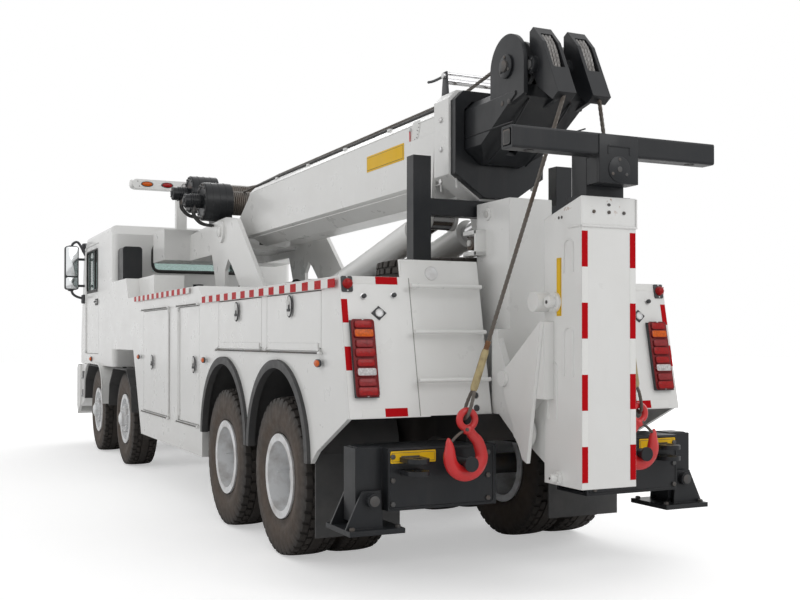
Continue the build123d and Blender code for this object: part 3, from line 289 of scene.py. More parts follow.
# finishes
finish = {
    "white": (0.80, 0.80, 0.785), "grime": (0.50, 0.47, 0.42), "charcoal": (0.013, 0.0145, 0.017),
    "chassis": (0.010, 0.010, 0.011), "rubber": (0.022, 0.021, 0.020), "roadDust": (0.122, 0.083, 0.058),
    "rim": (0.82, 0.83, 0.84), "hookRed": (0.62, 0.020, 0.022), "signYellow": (0.84, 0.50, 0.004),
    "tapeRed": (0.46, 0.004, 0.008), "tapeWhite": (0.80, 0.80, 0.78), "rust": (0.30, 0.11, 0.02),
    "edgeRound": 0.006}


def newFinish(name):
    # the material, its nodes, its shader and the place on the piece
    mat = bpy.data.materials.new(name)
    mat.use_nodes = True
    tree = mat.node_tree
    place = tree.nodes.new("ShaderNodeTexCoord").outputs["Object"]
    return mat, tree, tree.nodes["Principled BSDF"], place


def link(tree, source, target):
    tree.links.new(source, target)


def noiseOf(tree, place, scale, detail=4.0, rough=0.55, stretch=None):
    node = tree.nodes.new("ShaderNodeTexNoise")
    node.inputs["Scale"].default_value = scale
    node.inputs["Detail"].default_value = detail
    node.inputs["Roughness"].default_value = rough
    if stretch:
        shape = tree.nodes.new("ShaderNodeMapping")
        shape.inputs["Scale"].default_value = stretch
        link(tree, place, shape.inputs["Vector"])
        place = shape.outputs["Vector"]
    link(tree, place, node.inputs["Vector"])
    return node.outputs["Fac"]


def rampOf(tree, value, stops):
    # stops are (place, colour), colour being a grey number or rgb
    node = tree.nodes.new("ShaderNodeValToRGB")
    ramp = node.color_ramp
    while len(ramp.elements) < len(stops):
        ramp.elements.new(0.5)
    for element, (spot, colour) in zip(ramp.elements, stops):
        element.position = spot
        rgb = (colour,) * 3 if isinstance(colour, (int, float)) else colour
        element.color = (*rgb, 1.0)
    link(tree, value, node.inputs["Fac"])
    return node.outputs["Color"]


def mixOf(tree, share, first, second):
    node = tree.nodes.new("ShaderNodeMix")
    node.data_type = "RGBA"
    link(tree, share, node.inputs["Factor"])
    sockets = [s for s in node.inputs if s.type == "RGBA"]
    for socket, colour in zip(sockets, (first, second)):
        if isinstance(colour, tuple):
            socket.default_value = (*colour, 1.0)
        else:
            link(tree, colour, socket)
    return [s for s in node.outputs if s.type == "RGBA"][0]


def mathOf(tree, kind, first, second):
    node = tree.nodes.new("ShaderNodeMath")
    node.operation = kind
    node.use_clamp = True
    for socket, value in zip(node.inputs, (first, second)):
        if isinstance(value, (int, float)):
            socket.default_value = value
        else:
            link(tree, value, socket)
    return node.outputs["Value"]


def axisOf(tree, place, axis):
    node = tree.nodes.new("ShaderNodeSeparateXYZ")
    link(tree, place, node.inputs["Vector"])
    return node.outputs[axis]


def rangeOf(tree, value, low, high):
    node = tree.nodes.new("ShaderNodeMapRange")
    node.inputs["From Min"].default_value = low
    node.inputs["From Max"].default_value = high
    link(tree, value, node.inputs["Value"])
    return node.outputs["Result"]


def lengthOf(tree, vector):
    node = tree.nodes.new("ShaderNodeVectorMath")
    node.operation = "LENGTH"
    link(tree, vector, node.inputs[0])
    return node.outputs["Value"]


def cellsOf(tree, place, scale, uneven=1.0):
    node = tree.nodes.new("ShaderNodeTexVoronoi")
    node.inputs["Scale"].default_value = scale
    node.inputs["Randomness"].default_value = uneven
    link(tree, place, node.inputs["Vector"])
    return node.outputs["Distance"]


def tint(tree, shader, share, first, second):
    link(tree, mixOf(tree, share, first, second), shader.inputs["Base Color"])


def roughen(tree, shader, noise, low, high, start=0.3, end=0.7):
    link(tree, rampOf(tree, noise, [(start, low), (end, high)]), shader.inputs["Roughness"])


def bumpOf(tree, shader, height, strength, distance, edge=0.0):
    node = tree.nodes.new("ShaderNodeBump")
    node.inputs["Strength"].default_value = strength
    node.inputs["Distance"].default_value = distance
    link(tree, height, node.inputs["Height"])
    if edge:
        rounding = tree.nodes.new("ShaderNodeBevel")  # softens the solids' sharp edges
        rounding.samples = 4
        rounding.inputs["Radius"].default_value = edge
        link(tree, rounding.outputs["Normal"], node.inputs["Normal"])
    link(tree, node.outputs["Normal"], shader.inputs["Normal"])


def paintFinish(name, colour, dirt, gloss, dirtShare=0.25, lowDust=0.0, rustZone=None,
                edge=finish["edgeRound"], coat=0.35, specular=0.5):
    mat, tree, shader, place = newFinish(name)
    blotch = rampOf(tree, noiseOf(tree, place, 2.3, 6.0), [(0.42, 0.0), (0.80, dirtShare)])
    runs = noiseOf(tree, place, 9.0, 5.0, 0.6, (1.0, 1.0, 0.12))  # drawn out downwards
    streak = rampOf(tree, runs, [(0.50, 0.0), (0.85, dirtShare)])
    share = mathOf(tree, "MAXIMUM", blotch, streak)
    height = axisOf(tree, place, "Z")
    if lowDust:
        low = rangeOf(tree, height, 1.25, 0.35)
        low = mathOf(tree, "MULTIPLY", low, lowDust)
        share = mathOf(tree, "ADD", share, mathOf(tree, "MULTIPLY", low, noiseOf(tree, place, 5.0, 6.0)))
    shade = mixOf(tree, share, colour, dirt)
    if rustZone:
        low, high = rustZone
        inside = rangeOf(tree, height, low, high)
        spot = rampOf(tree, noiseOf(tree, place, 16.0, 5.0, 0.6), [(0.63, 0.0), (0.67, 1.0)])
        shade = mixOf(tree, mathOf(tree, "MULTIPLY", inside, spot), shade, finish["rust"])
    link(tree, shade, shader.inputs["Base Color"])
    roughen(tree, shader, noiseOf(tree, place, 6.0, 5.0), gloss - 0.05, gloss + 0.12, end=0.75)
    shader.inputs["Coat Weight"].default_value = coat
    shader.inputs["Coat Roughness"].default_value = 0.12
    shader.inputs["Specular IOR Level"].default_value = specular
    bumpOf(tree, shader, noiseOf(tree, place, 160.0, 2.0), 0.05, 0.002, edge)
    return mat


def metalFinish(name, colour, rough, metallic, grain=40.0, stain=(0.25, 0.2, 0.16), edge=0.003, patch=7.0):
    mat, tree, shader, place = newFinish(name)
    share = rampOf(tree, noiseOf(tree, place, patch, 6.0), [(0.45, 0.0), (0.80, 0.65)])
    tint(tree, shader, share, colour, stain)
    roughen(tree, shader, noiseOf(tree, place, grain, 4.0, 0.6), rough - 0.06, rough + 0.12)
    shader.inputs["Metallic"].default_value = metallic
    bumpOf(tree, shader, noiseOf(tree, place, grain * 4, 3.0, 0.6), 0.12, 0.001, edge)
    return mat


def rubberFinish(name, colour, dust, dustShare, rough=0.72):
    mat, tree, shader, place = newFinish(name)
    share = rampOf(tree, noiseOf(tree, place, 6.5, 6.0, 0.6), [(0.30, 0.05), (0.75, dustShare)])
    tint(tree, shader, share, colour, dust)
    roughen(tree, shader, noiseOf(tree, place, 18.0), rough - 0.08, rough + 0.12)
    bumpOf(tree, shader, noiseOf(tree, place, 220.0, 2.0), 0.2, 0.001, 0.002)
    return mat


def tyreFinish():
    # dust sits on the sidewall, the tread stays dark
    mat, tree, shader, place = newFinish("dustyTyre")
    flat = tree.nodes.new("ShaderNodeVectorMath")
    flat.operation = "MULTIPLY"
    flat.inputs[1].default_value = (1.0, 0.0, 1.0)
    link(tree, place, flat.inputs[0])
    wall = rampOf(tree, rangeOf(tree, lengthOf(tree, flat.outputs["Vector"]), 0.26, 0.58),
                  [(0.0, 0.30), (0.35, 0.75), (0.72, 0.45), (0.88, 0.10), (1.0, 0.30)])
    cloud = rampOf(tree, noiseOf(tree, place, 4.5, 6.0, 0.6), [(0.25, 0.35), (0.75, 1.0)])
    share = mathOf(tree, "MULTIPLY", wall, cloud)
    tint(tree, shader, share, finish["rubber"], finish["roadDust"])
    roughen(tree, shader, noiseOf(tree, place, 20.0), 0.62, 0.85)
    ring = tree.nodes.new("ShaderNodeTexWave")
    ring.wave_type = "RINGS"
    ring.rings_direction = "Y"
    ring.inputs["Scale"].default_value = 16.0
    ring.inputs["Distortion"].default_value = 0.4
    link(tree, place, ring.inputs["Vector"])
    bumpOf(tree, shader, mathOf(tree, "ADD", ring.outputs["Fac"], noiseOf(tree, place, 120.0)), 0.12, 0.002)
    return mat


def lensFinish(name, colour, glow):
    mat, tree, shader, place = newFinish(name)
    cells = cellsOf(tree, place, 70.0)
    tint(tree, shader, cells, colour, tuple(c * 0.55 for c in colour))
    roughen(tree, shader, noiseOf(tree, place, 30.0), 0.15, 0.28)
    shader.inputs["Emission Color"].default_value = (*colour, 1.0)
    shader.inputs["Emission Strength"].default_value = glow
    shader.inputs["Coat Weight"].default_value = 0.08
    shader.inputs["Specular IOR Level"].default_value = 0.2
    bumpOf(tree, shader, cells, 0.35, 0.002, 0.002)
    return mat


def glassFinish(name, tint):
    mat, tree, shader, place = newFinish(name)
    roughen(tree, shader, noiseOf(tree, place, 3.0, 5.0), 0.02, 0.10, 0.35, 0.8)
    shader.inputs["Base Color"].default_value = (*tint, 1.0)
    shader.inputs["Transmission Weight"].default_value = 0.92
    shader.inputs["IOR"].default_value = 1.2
    return mat


def treadPlateFinish():
    # raised bars in two directions on worn aluminium
    mat, tree, shader, place = newFinish("deckTreadPlate")
    bars = []
    for turn in (math.pi / 4, -math.pi / 4):
        spin = tree.nodes.new("ShaderNodeMapping")
        spin.inputs["Rotation"].default_value = (0.0, 0.0, turn)
        spin.inputs["Scale"].default_value = (14.0, 42.0, 1.0)
        link(tree, place, spin.inputs["Vector"])
        cells = cellsOf(tree, spin.outputs["Vector"], 1.0, 0.0)
        bars.append(rampOf(tree, cells, [(0.22, 1.0), (0.30, 0.0)]))
    raised = mathOf(tree, "MAXIMUM", bars[0], bars[1])
    dirt = rampOf(tree, noiseOf(tree, place, 4.0, 6.0), [(0.4, 0.0), (0.8, 0.6)])
    tint(tree, shader, dirt, (0.42, 0.43, 0.44), (0.16, 0.14, 0.12))
    roughen(tree, shader, raised, 0.55, 0.33, 0.0, 1.0)
    shader.inputs["Metallic"].default_value = 0.75
    bumpOf(tree, shader, raised, 0.6, 0.004, 0.004)
    return mat


def tapeFinish(name, colour):
    # reflective sheet with a fine honeycomb
    mat, tree, shader, place = newFinish(name)
    cells = cellsOf(tree, place, 260.0)
    share = rampOf(tree, cells, [(0.0, 0.0), (0.8, 0.30)])
    tint(tree, shader, share, colour, tuple(min(1.0, c * 1.2 + 0.004) for c in colour))
    roughen(tree, shader, noiseOf(tree, place, 25.0), 0.25, 0.42)
    shader.inputs["Specular IOR Level"].default_value = 0.04
    bumpOf(tree, shader, cells, 0.08, 0.001)
    return mat


whitePaint = paintFinish("whitePaint", finish["white"], finish["grime"], 0.30, 0.10, 0.25)
armPaint = paintFinish("whiteArmPaint", finish["white"], finish["grime"], 0.32, 0.12, 0.1, (2.22, 2.36))
charcoalPaint = paintFinish("charcoalPaint", finish["charcoal"], (0.045, 0.043, 0.042), 0.36, 0.35,
                            coat=0.10, specular=0.28)
chassisPaint = paintFinish("chassisPaint", finish["chassis"], (0.075, 0.062, 0.052), 0.52, 0.40, 0.4,
                           coat=0.0, specular=0.25)
redPaint = paintFinish("hookRedPaint", finish["hookRed"], (0.07, 0.035, 0.030), 0.34, 0.45, coat=0.15)
signPaint = paintFinish("blankSignYellow", finish["signYellow"], (0.50, 0.33, 0.03), 0.45, 0.2,
                        edge=0.0, coat=0.0, specular=0.3)
orangePaint = paintFinish("orangePaint", (0.75, 0.30, 0.02), (0.30, 0.16, 0.06), 0.4, 0.4)
lampRed = paintFinish("lampHousingRed", (0.19, 0.006, 0.008), (0.10, 0.02, 0.02), 0.3, 0.3,
                      edge=0.002, coat=0.05, specular=0.2)
dustyTyre = tyreFinish()
rimSilver = metalFinish("rimSilver", finish["rim"], 0.34, 0.2)
castSteel = metalFinish("castSteel", (0.09, 0.09, 0.09), 0.55, 0.5, 25.0, (0.16, 0.10, 0.06))
brightSteel = metalFinish("brightSteel", (0.60, 0.60, 0.60), 0.28, 0.9)
zincPlate = metalFinish("zincPlate", (0.66, 0.66, 0.65), 0.42, 0.25, 60.0, (0.40, 0.38, 0.35))
chromeRod = metalFinish("chromeRod", (0.72, 0.72, 0.73), 0.12, 1.0, 90.0, (0.55, 0.55, 0.56))
ropeSteel = metalFinish("ropeSteel", (0.16, 0.145, 0.13), 0.45, 0.65, 60.0, (0.10, 0.06, 0.035), edge=0.0)
# lighter copy of the rope steel: painted sheen on the strands in the block mouths
strandSteel = metalFinish("strandSteel", (0.34, 0.33, 0.32), 0.40, 0.5, 60.0, (0.12, 0.10, 0.09), edge=0.0)
ferruleBrass = metalFinish("ferruleBrass", (0.42, 0.34, 0.18), 0.5, 0.3, 60.0, (0.08, 0.05, 0.025),
                           patch=22.0)
rustyWrap = metalFinish("rustyWrap", (0.16, 0.075, 0.035), 0.7, 0.2, 60.0, (0.30, 0.16, 0.07), edge=0.0)
archRubber = rubberFinish("archRubber", (0.045, 0.046, 0.048), (0.12, 0.11, 0.10), 0.30, 0.55)
hoseRubber = rubberFinish("hoseRubber", (0.015, 0.015, 0.015), (0.07, 0.065, 0.06), 0.30, 0.5)
cabinTrim = rubberFinish("cabinTrim", (0.045, 0.046, 0.050), (0.09, 0.09, 0.09), 0.25, 0.6)
# grey for the tail seam line, and painted shade inside the tail's round recess
seamGreyAndRecessShade = rubberFinish("seamSealer", (0.36, 0.355, 0.34), (0.25, 0.24, 0.22), 0.5, 0.6)
redLens = lensFinish("redLens", (0.42, 0.004, 0.005), 0.03)
roseLens = lensFinish("roseLens", (0.34, 0.030, 0.034), 0.02)
amberLens = lensFinish("amberLens", (0.78, 0.13, 0.004), 0.04)
clearLens = lensFinish("clearLens", (0.72, 0.70, 0.70), 0.02)
cabGlass = glassFinish("cabGlass", (0.62, 0.72, 0.70))
smokedPlastic = glassFinish("smokedVisor", (0.10, 0.11, 0.12))
mirrorGlass = metalFinish("mirrorGlass", (0.80, 0.82, 0.83), 0.08, 1.0, 12.0, (0.70, 0.72, 0.73), edge=0.0)
deckPlate = treadPlateFinish()
redTape = tapeFinish("redTape", finish["tapeRed"])
whiteTape = tapeFinish("whiteTape", finish["tapeWhite"])

nodeFinish = {
    "frame": chassisPaint, "axles": castSteel, "engine": castSteel, "cab_shell": whitePaint,
    "cab_glass": cabGlass, "cab_door_l": whitePaint, "cab_door_r": whitePaint, "cab_interior": cabinTrim,
    "front_bumper": whitePaint, "mirrors": cabinTrim, "lamps": cabinTrim, "mudguards": archRubber,
    "body_left": whitePaint, "body_right": whitePaint, "deck": deckPlate, "tail_panels": whitePaint,
    "boom_pedestal": whitePaint, "winches": charcoalPaint, "light_bar": whitePaint, "tanks": charcoalPaint,
    "boom_outer": whitePaint, "boom_inner": charcoalPaint, "lift_barrels": whitePaint, "lift_rods": chromeRod,
    "boom_rest": charcoalPaint, "mast": whitePaint, "underlift_arm": armPaint, "arm_slider": charcoalPaint,
    "crossbar": charcoalPaint, "rear_beams": charcoalPaint, "hooks": redPaint}
groupFinish = {"rim": rimSilver, "knuckle": castSteel, "locker": whitePaint, "stabiliser": charcoalPaint}
for name, node in nodes.items():
    node.data.materials.clear()
    node.data.materials.append(nodeFinish.get(name) or groupFinish.get(name.split("_")[0], dustyTyre))
print("finishes", len(bpy.data.materials))


# wheels: tyres with cut tread, nuts and hub caps
tyreLook = {
    "pitches": 40, "slotShoulder": (0.02, 0.30), "slotMiddle": (0.52, 0.80), "slotWall": 0.02,
    "grooves": (-0.094, -0.045, 0.045, 0.094), "grooveHalf": 0.0055, "treadHalf": 0.1395, "ribGap": 0.0008,
    "treadDepth": 0.015, "crownDrop": 0.010, "shoulderFrom": 0.51, "shoulderCut": 0.006, "wide": 0.315,
    "sidewall": [(0.1300, 0.304), (0.1385, 0.318), (0.1370, 0.330), (0.1500, 0.372), (0.1560, 0.415),
                 (0.1555, 0.452), (0.1540, 0.457), (0.1535, 0.485), (0.1470, 0.520), (0.1435, 0.538)]}
hubLook = {
    "nutCount": 10, "nutCircle": 0.167, "studCount": 12, "studCircle": 0.124, "valveEnd": 1.20,
    "valveRadius": 0.236, "nut": [(-0.004, 0.021), (0.004, 0.021), (0.006, 0.0165), (0.030, 0.0165),
                                  (0.034, 0.011), (0.050, 0.010)],
    "stud": [(-0.002, 0.011), (0.012, 0.011), (0.014, 0.008)],
    "steered": {"seat": 1.126, "hubEnd": 1.177, "capEnd": 1.219,
                "cap": [(-0.002, 0.070), (0.010, 0.066), (0.018, 0.050), (0.020, 0.020)]},
    "driven": {"seat": 0.930, "hubEnd": 1.067, "capEnd": 1.067,
               "cap": [(-0.002, 0.100), (0.020, 0.096), (0.050, 0.084), (0.066, 0.060), (0.070, 0.020)]}}
tyreRadius = spanOf([corner.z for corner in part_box("tyre_1l")]) / 2


def treadColumns():
    # (across, kind): s shoulder rib, m middle rib, c centre rib, g groove floor
    rows = []
    half, gap, ribGap = tyreLook["treadHalf"], tyreLook["grooveHalf"], tyreLook["ribGap"]
    marks = [-half] + [g + d for g in tyreLook["grooves"] for d in (-gap, gap)] + [half]
    for kind, left, right in zip("sgmgcgmgs", marks, marks[1:]):
        rows += [(left + ribGap, kind), (right - ribGap, kind)]
    return rows


def addTyre(bm, middleY):
    shoulder, middle, wall = tyreLook["slotShoulder"], tyreLook["slotMiddle"], tyreLook["slotWall"]
    columns = treadColumns()
    offsets = sorted({0.0, *shoulder, *middle, shoulder[0] - wall, middle[0] - wall, shoulder[1] + wall,
                      middle[1] + wall})
    rings = []
    for pitch in range(tyreLook["pitches"]):
        for offset in offsets:
            turn = 2 * math.pi * (pitch + offset) / tyreLook["pitches"]
            inShoulder = shoulder[0] <= offset <= shoulder[1]
            inMiddle = middle[0] <= offset <= middle[1]
            wallCut = tyreLook["shoulderCut"] if inShoulder else 0.0
            cheek = [(y, r - wallCut if r > tyreLook["shoulderFrom"] else r) for y, r in tyreLook["sidewall"]]
            rows = [(-y, r) for y, r in cheek]
            for y, kind in columns:
                crown = tyreRadius - tyreLook["crownDrop"] * (abs(y) / tyreLook["treadHalf"]) ** 3
                cut = kind == "g" or (kind == "s" and inShoulder) or (kind == "m" and inMiddle)
                rows.append((y, crown - tyreLook["treadDepth"] if cut else crown))
            rows += reversed(cheek)
            ring = [(r * math.cos(turn), middleY + y, r * math.sin(turn)) for y, r in rows]
            rings.append([bm.verts.new(spot) for spot in ring])
    skinRings(bm, rings, closed=True)


def dressWheel(name):
    low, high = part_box("tyre_" + name)
    middle = (low + high) / 2
    side = 1 if name[1] == "l" else -1
    out = (0, side, 0)
    steered = name[0] in "12"
    hub = hubLook["steered" if steered else "driven"]
    rows = [high.y - tyreLook["wide"] / 2, low.y + tyreLook["wide"] / 2][::side]  # the outer tyre first
    place = Vector((middle.x, 0.0, middle.z))
    bm = bmesh.new()
    for y in rows[:1 if steered else 2]:
        addTyre(bm, y)
    tyre = makePiece(bm, "treadedTyre" + name.upper(), "wheel_" + name, [dustyTyre], 30.0,
                     place)
    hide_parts("tyre_" + name)
    bm = bmesh.new()
    seat, hubEnd, valve = side * hub["seat"], side * hub["hubEnd"], side * hubLook["valveEnd"]
    for kind, y, shift in (("nut", seat, 0.5), ("stud", hubEnd, 0.0)):
        count, circle = hubLook[kind + "Count"], hubLook[kind + "Circle"]
        for step in range(count):
            turn = 2 * math.pi * (step + shift) / count
            addLathe(bm, hubLook[kind], (circle * math.cos(turn), y, circle * math.sin(turn)), out, 6)
    addLathe(bm, hub["cap"], (0, side * hub["capEnd"], 0), out, 28)
    reach = hubLook["valveRadius"]
    stem = [(reach, seat, 0.0), (reach, (seat + valve) / 2, 0.0), (reach - 0.021, valve - side * 0.03, 0.0)]
    addTube(bm, smoothLine(stem, 5), 0.006)
    makePiece(bm, "wheelNuts" + name.upper(), "wheel_" + name, [rimSilver], 35.0, place)


for wheelName in [n + s for n in "1234" for s in "lr"]:
    dressWheel(wheelName)

bm = bmesh.new()
addTyre(bm, 0.0)
spare = makePiece(bm, "spareTreadedTyre", "chassis", [dustyTyre], 30.0)
spareMid = sum(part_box("spare_tyre"), Vector()) / 2
spare.matrix_world = Matrix.Translation(spareMid) @ Matrix.Rotation(math.pi / 2, 4, "X")
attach(spare, "chassis")
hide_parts("spare_tyre")
print("wheels dressed")


# body sides: tape, locks, drip rails, hinges and markers
sideLook = {
    "tapeRuns": ((1.398, -1.077, 1.985), (-1.543, -4.665, 1.88)), "tapeTall": 0.055, "tapePiece": 0.115,
    "lockHalf": (0.050, 0.078), "lockPin": (0.022, 0.010, 0.015),
    "lockRim": [(-0.002, 1.0), (0.003, 1.0), (0.005, 0.97), (0.005, 0.90), (0.003, 0.88)],
    "lockDish": [(0.002, 0.90), (0.006, 0.88), (0.004, 0.66), (0.003, 0.30)],
    "lockBars": ((0.028, -0.036, -0.016, 0.011), (0.009, -0.030, 0.022, 0.009)),
    "railRadius": 0.006, "railGap": 0.011, "railPast": 0.02, "clipHalf": 0.016, "clipRadius": 0.012,
    "hingeRadius": 0.008, "hingeHalf": 0.05, "hingeShares": (0.12, 0.5, 0.88),
    "markers": ((1.148, 1.339), (-1.604, 1.352), (-4.385, 1.381)), "markerHalf": (0.055, 0.026),
    "markerBase": [(-0.002, 1.0), (0.008, 1.0), (0.010, 0.95)],
    "markerLens": [(0.006, 0.86), (0.013, 0.82), (0.018, 0.62), (0.020, 0.30)],
    "doorLocks": {"locker_front": ((0.507, 1.293),), "locker_mid": ((-1.232, 1.305),),
                  "locker_flaps": ((-2.570, 1.752), (-3.822, 1.760))}}


def addLock(bm, spot, side):
    # oval dish with a folding T handle: 0 black, 1 steel
    x, y, z = spot
    addOval(bm, spot, (0, side, 0), sideLook["lockHalf"], sideLook["lockRim"], 0)
    addOval(bm, spot, (0, side, 0), sideLook["lockHalf"], sideLook["lockDish"], 1)
    lift, long, radius = sideLook["lockPin"]
    addRod(bm, (x, y, z + lift), (x, y + side * long, z + lift), radius, 1, 20, 0.002)
    for halfX, low, high, thick in sideLook["lockBars"]:
        addBox(bm, (x - halfX, y, z + low), (x + halfX, y + side * thick, z + high), 0, 0.004)


def addRails(bm, face, low, high, both):
    # a thin rail under a door, and one over it, with a clip on each end; the rails' dark steel is also
    # painted shadow along the door gaps
    clip = sideLook["clipHalf"]
    ends = (low.x - sideLook["railPast"], high.x + sideLook["railPast"])
    heights = [low.z - sideLook["railGap"], high.z + sideLook["railGap"]]
    for z in heights[:2 if both else 1]:
        addRod(bm, (ends[0], face, z), (ends[1], face, z), sideLook["railRadius"], 1, 12, 0.002)
        for x in ends:
            addRod(bm, (x - clip, face, z), (x + clip, face, z), sideLook["clipRadius"], 0, 14, 0.003)


def dressSide(side):
    tag = sideTag[side]
    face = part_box("body_left")[1].y * side
    out = (0, side, 0)
    doorBox = {name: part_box(name + "_" + tag.lower()) for name in sideLook["doorLocks"]}
    bm = bmesh.new()
    for startX, endX, z in sideLook["tapeRuns"]:
        addTape(bm, (startX, face, z), (endX, face, z), out, sideLook["tapeTall"], sideLook["tapePiece"])
    makePiece(bm, "sideTape" + tag, "chassis", [redTape, whiteTape])
    bm = bmesh.new()
    for name, (low, high) in doorBox.items():
        swings = name != "locker_flaps"  # the flaps drop, so they have no rail above and no upright hinge
        addRails(bm, face, low, high, swings)
        if swings:
            x, y = jointAt[name + "_" + tag.lower()][:2]
            for share in sideLook["hingeShares"]:
                z = low.z + (high.z - low.z) * share
                addRod(bm, (x, y, z - sideLook["hingeHalf"]), (x, y, z + sideLook["hingeHalf"]),
                       sideLook["hingeRadius"], 0, 14, 0.002)
    # the dark steel rails are real rods and also painted shadow of the door gaps
    makePiece(bm, "drippingRails" + tag, "chassis", [whitePaint, castSteel])
    for name, spots in sideLook["doorLocks"].items():
        doorFace = doorBox[name][1 if side > 0 else 0].y
        bm = bmesh.new()
        for x, z in spots:
            addLock(bm, (x, doorFace, z), side)
        makePiece(bm, name.replace("locker_", "") + "Lock" + tag, name + "_" + tag.lower(),
                  [cabinTrim, zincPlate])
    bm = bmesh.new()
    for x, z in sideLook["markers"]:
        for mat, rows in enumerate(("markerBase", "markerLens")):
            addOval(bm, (x, face, z), out, sideLook["markerHalf"], sideLook[rows], mat)
    makePiece(bm, "sideMarkers" + tag, "chassis", [cabinTrim, amberLens])


for side in (1, -1):
    dressSide(side)
print("sides dressed")


# leaning tail: lamps, tape, lock, marker and small round fittings
tailLook = {
    "topX": -4.677, "topZ": 1.925, "lean": 0.174 / 0.871,
    "lampY": (1.050, 1.200), "lampZ": (1.180, 1.650), "lampProud": 0.030,
    "cells": ((2, 3), (4, 2), (2, 5), (4, 2)), "cellHalves": ((0.27, 0.44, 0.030), (0.735, 0.48, 0.016)),
    "edgeTapeY": 1.222, "edgeTapeZ": (1.780, 1.200), "edgeTapeWide": 0.040, "edgeTapePiece": 0.145,
    "footTapeY": (0.855, 1.159), "footTapeZ": 1.087, "footTapeWide": 0.052, "footTapePiece": 0.152,
    "topTape": ((0.926, 1.900, 0), (1.080, 1.900, 1)), "topTapeSize": (0.150, 0.048),
    "marker": (1.197, 1.873), "markerSize": (0.074, 0.100), "seamY": 0.770, "seamZ": (1.920, 1.060),
    # round fittings: (where), (wide, tall), rows, finish, steps
    "rounds": (
        (((1.197, 1.873),), (0.031, 0.031), [(0.008, 1), (0.026, 1), (0.040, 0.80), (0.047, 0.45)], 1, 28),
        (((1.197, 1.831), (1.197, 1.915)), (0.006, 0.006), [(0.008, 1), (0.013, 1), (0.014, 0.6)], 2, 6),
        (((1.092, 1.798), (0.887, 1.807)), (0.021, 0.021), [(-0.001, 1), (0.004, 1), (0.005, 0.6)], 2, 20),
        (((1.092, 1.798), (0.887, 1.807)), (0.014, 0.014), [(0.003, 1), (0.024, 1), (0.030, 0.6)], 0, 20),
        (((0.997, 1.695),), (0.052, 0.045), [(-0.001, 1), (0.006, 1), (0.008, 0.9)], 0, 4),
        (((0.997, 1.695),), (0.026, 0.026),
         [(0.006, 1), (0.016, 1), (0.018, 0.86), (0.012, 0.78), (0.012, 0.2)], 3, 28),
        (((0.605, 1.955),), (0.046, 0.046), [(-0.001, 1), (0.004, 1), (0.005, 0.95), (0.002, 0.88)], 3, 32),
        # grey disc inside the ring: painted shade of the round recess
        (((0.605, 1.955),), (0.042, 0.042), [(0.0012, 1.0), (0.0016, 0.8), (0.0016, 0.2)], 4, 32),
        (((0.371, 1.178), (0.371, 1.098)), (0.026, 0.026), [(-0.001, 1), (0.003, 1), (0.003, 0.84)], 3, 24),
        (((0.371, 1.178), (0.371, 1.098)), (0.021, 0.021), [(-0.001, 1), (0.0035, 1)], 0, 24))}
tailOut = Vector((-1.0, 0.0, tailLook["lean"])).normalized()


def onTail(y, z, out=0.0):
    x = tailLook["topX"] - tailLook["lean"] * (tailLook["topZ"] - z)
    return Vector((x, y, z)) + tailOut * out


def dressTail(side):
    tag = sideTag[side]
    proud = tailLook["lampProud"]
    lowZ, highZ = tailLook["lampZ"]
    midY = side * midOf(tailLook["lampY"])
    wide = spanOf(tailLook["lampY"])
    bm = bmesh.new()
    centre = onTail(midY, (lowZ + highZ) / 2, proud)
    addPlate(bm, centre, tailOut, (wide + 0.006, highZ - lowZ + 0.012), 0.004, 0, 0.003, 0.020)
    cellTall = (highZ - lowZ) / len(tailLook["cells"])
    for row, mats in enumerate(tailLook["cells"]):
        top = highZ - row * cellTall
        for mat, (drop, tall, narrower) in zip(mats, tailLook["cellHalves"]):
            spot = onTail(midY, top - cellTall * drop, proud + 0.003)
            addPlate(bm, spot, tailOut, (wide - narrower, cellTall * tall), 0.013, mat, 0.006, 0.016)
    for z in (lowZ + 0.004, highZ - 0.004):
        addBoss(bm, onTail(midY, z, proud + 0.004), tailOut, 0.006, (0.004, 0.006, 0.5), 1, 10)
    makePiece(bm, "tailLampCells" + tag, "chassis",
              [lampRed, brightSteel, redLens, amberLens, roseLens, clearLens])
    bm = bmesh.new()
    for line, kind in (([(tailLook["edgeTapeY"], z) for z in tailLook["edgeTapeZ"]], "edgeTape"),
                       ([(y, tailLook["footTapeZ"]) for y in tailLook["footTapeY"]], "footTape")):
        start, end = [onTail(side * y, z) for y, z in line]
        addTape(bm, start, end, tailOut, tailLook[kind + "Wide"], tailLook[kind + "Piece"])
    for y, z, mat in tailLook["topTape"]:
        addPlate(bm, onTail(side * y, z), tailOut, tailLook["topTapeSize"], 0.0018, mat)
    makePiece(bm, "tailTape" + tag, "chassis", [redTape, whiteTape])
    bm = bmesh.new()
    markerY, markerZ = tailLook["marker"]
    addPlate(bm, onTail(side * markerY, markerZ), tailOut, tailLook["markerSize"], 0.010, 0, 0.003, 0.010)
    for spots, half, rows, mat, steps in tailLook["rounds"]:
        for y, z in spots:
            addOval(bm, onTail(side * y, z), tailOut, half, rows, mat, steps)
    top, low = [onTail(side * tailLook["seamY"], z) for z in tailLook["seamZ"]]
    addRod(bm, top, low, 0.003, 4, 8)
    makePiece(bm, "tailFittings" + tag, "chassis",
              [cabinTrim, redLens, brightSteel, rimSilver, seamGreyAndRecessShade])


for side in (1, -1):
    dressTail(side)
print("tail dressed")


# wire rope: six strands laid round the line
ropeLook = {
    "radius": 0.0125, "strands": 6, "pitch": 0.19, "sides": 6, "step": 0.016, "lay": 0.655, "strand": 0.375}


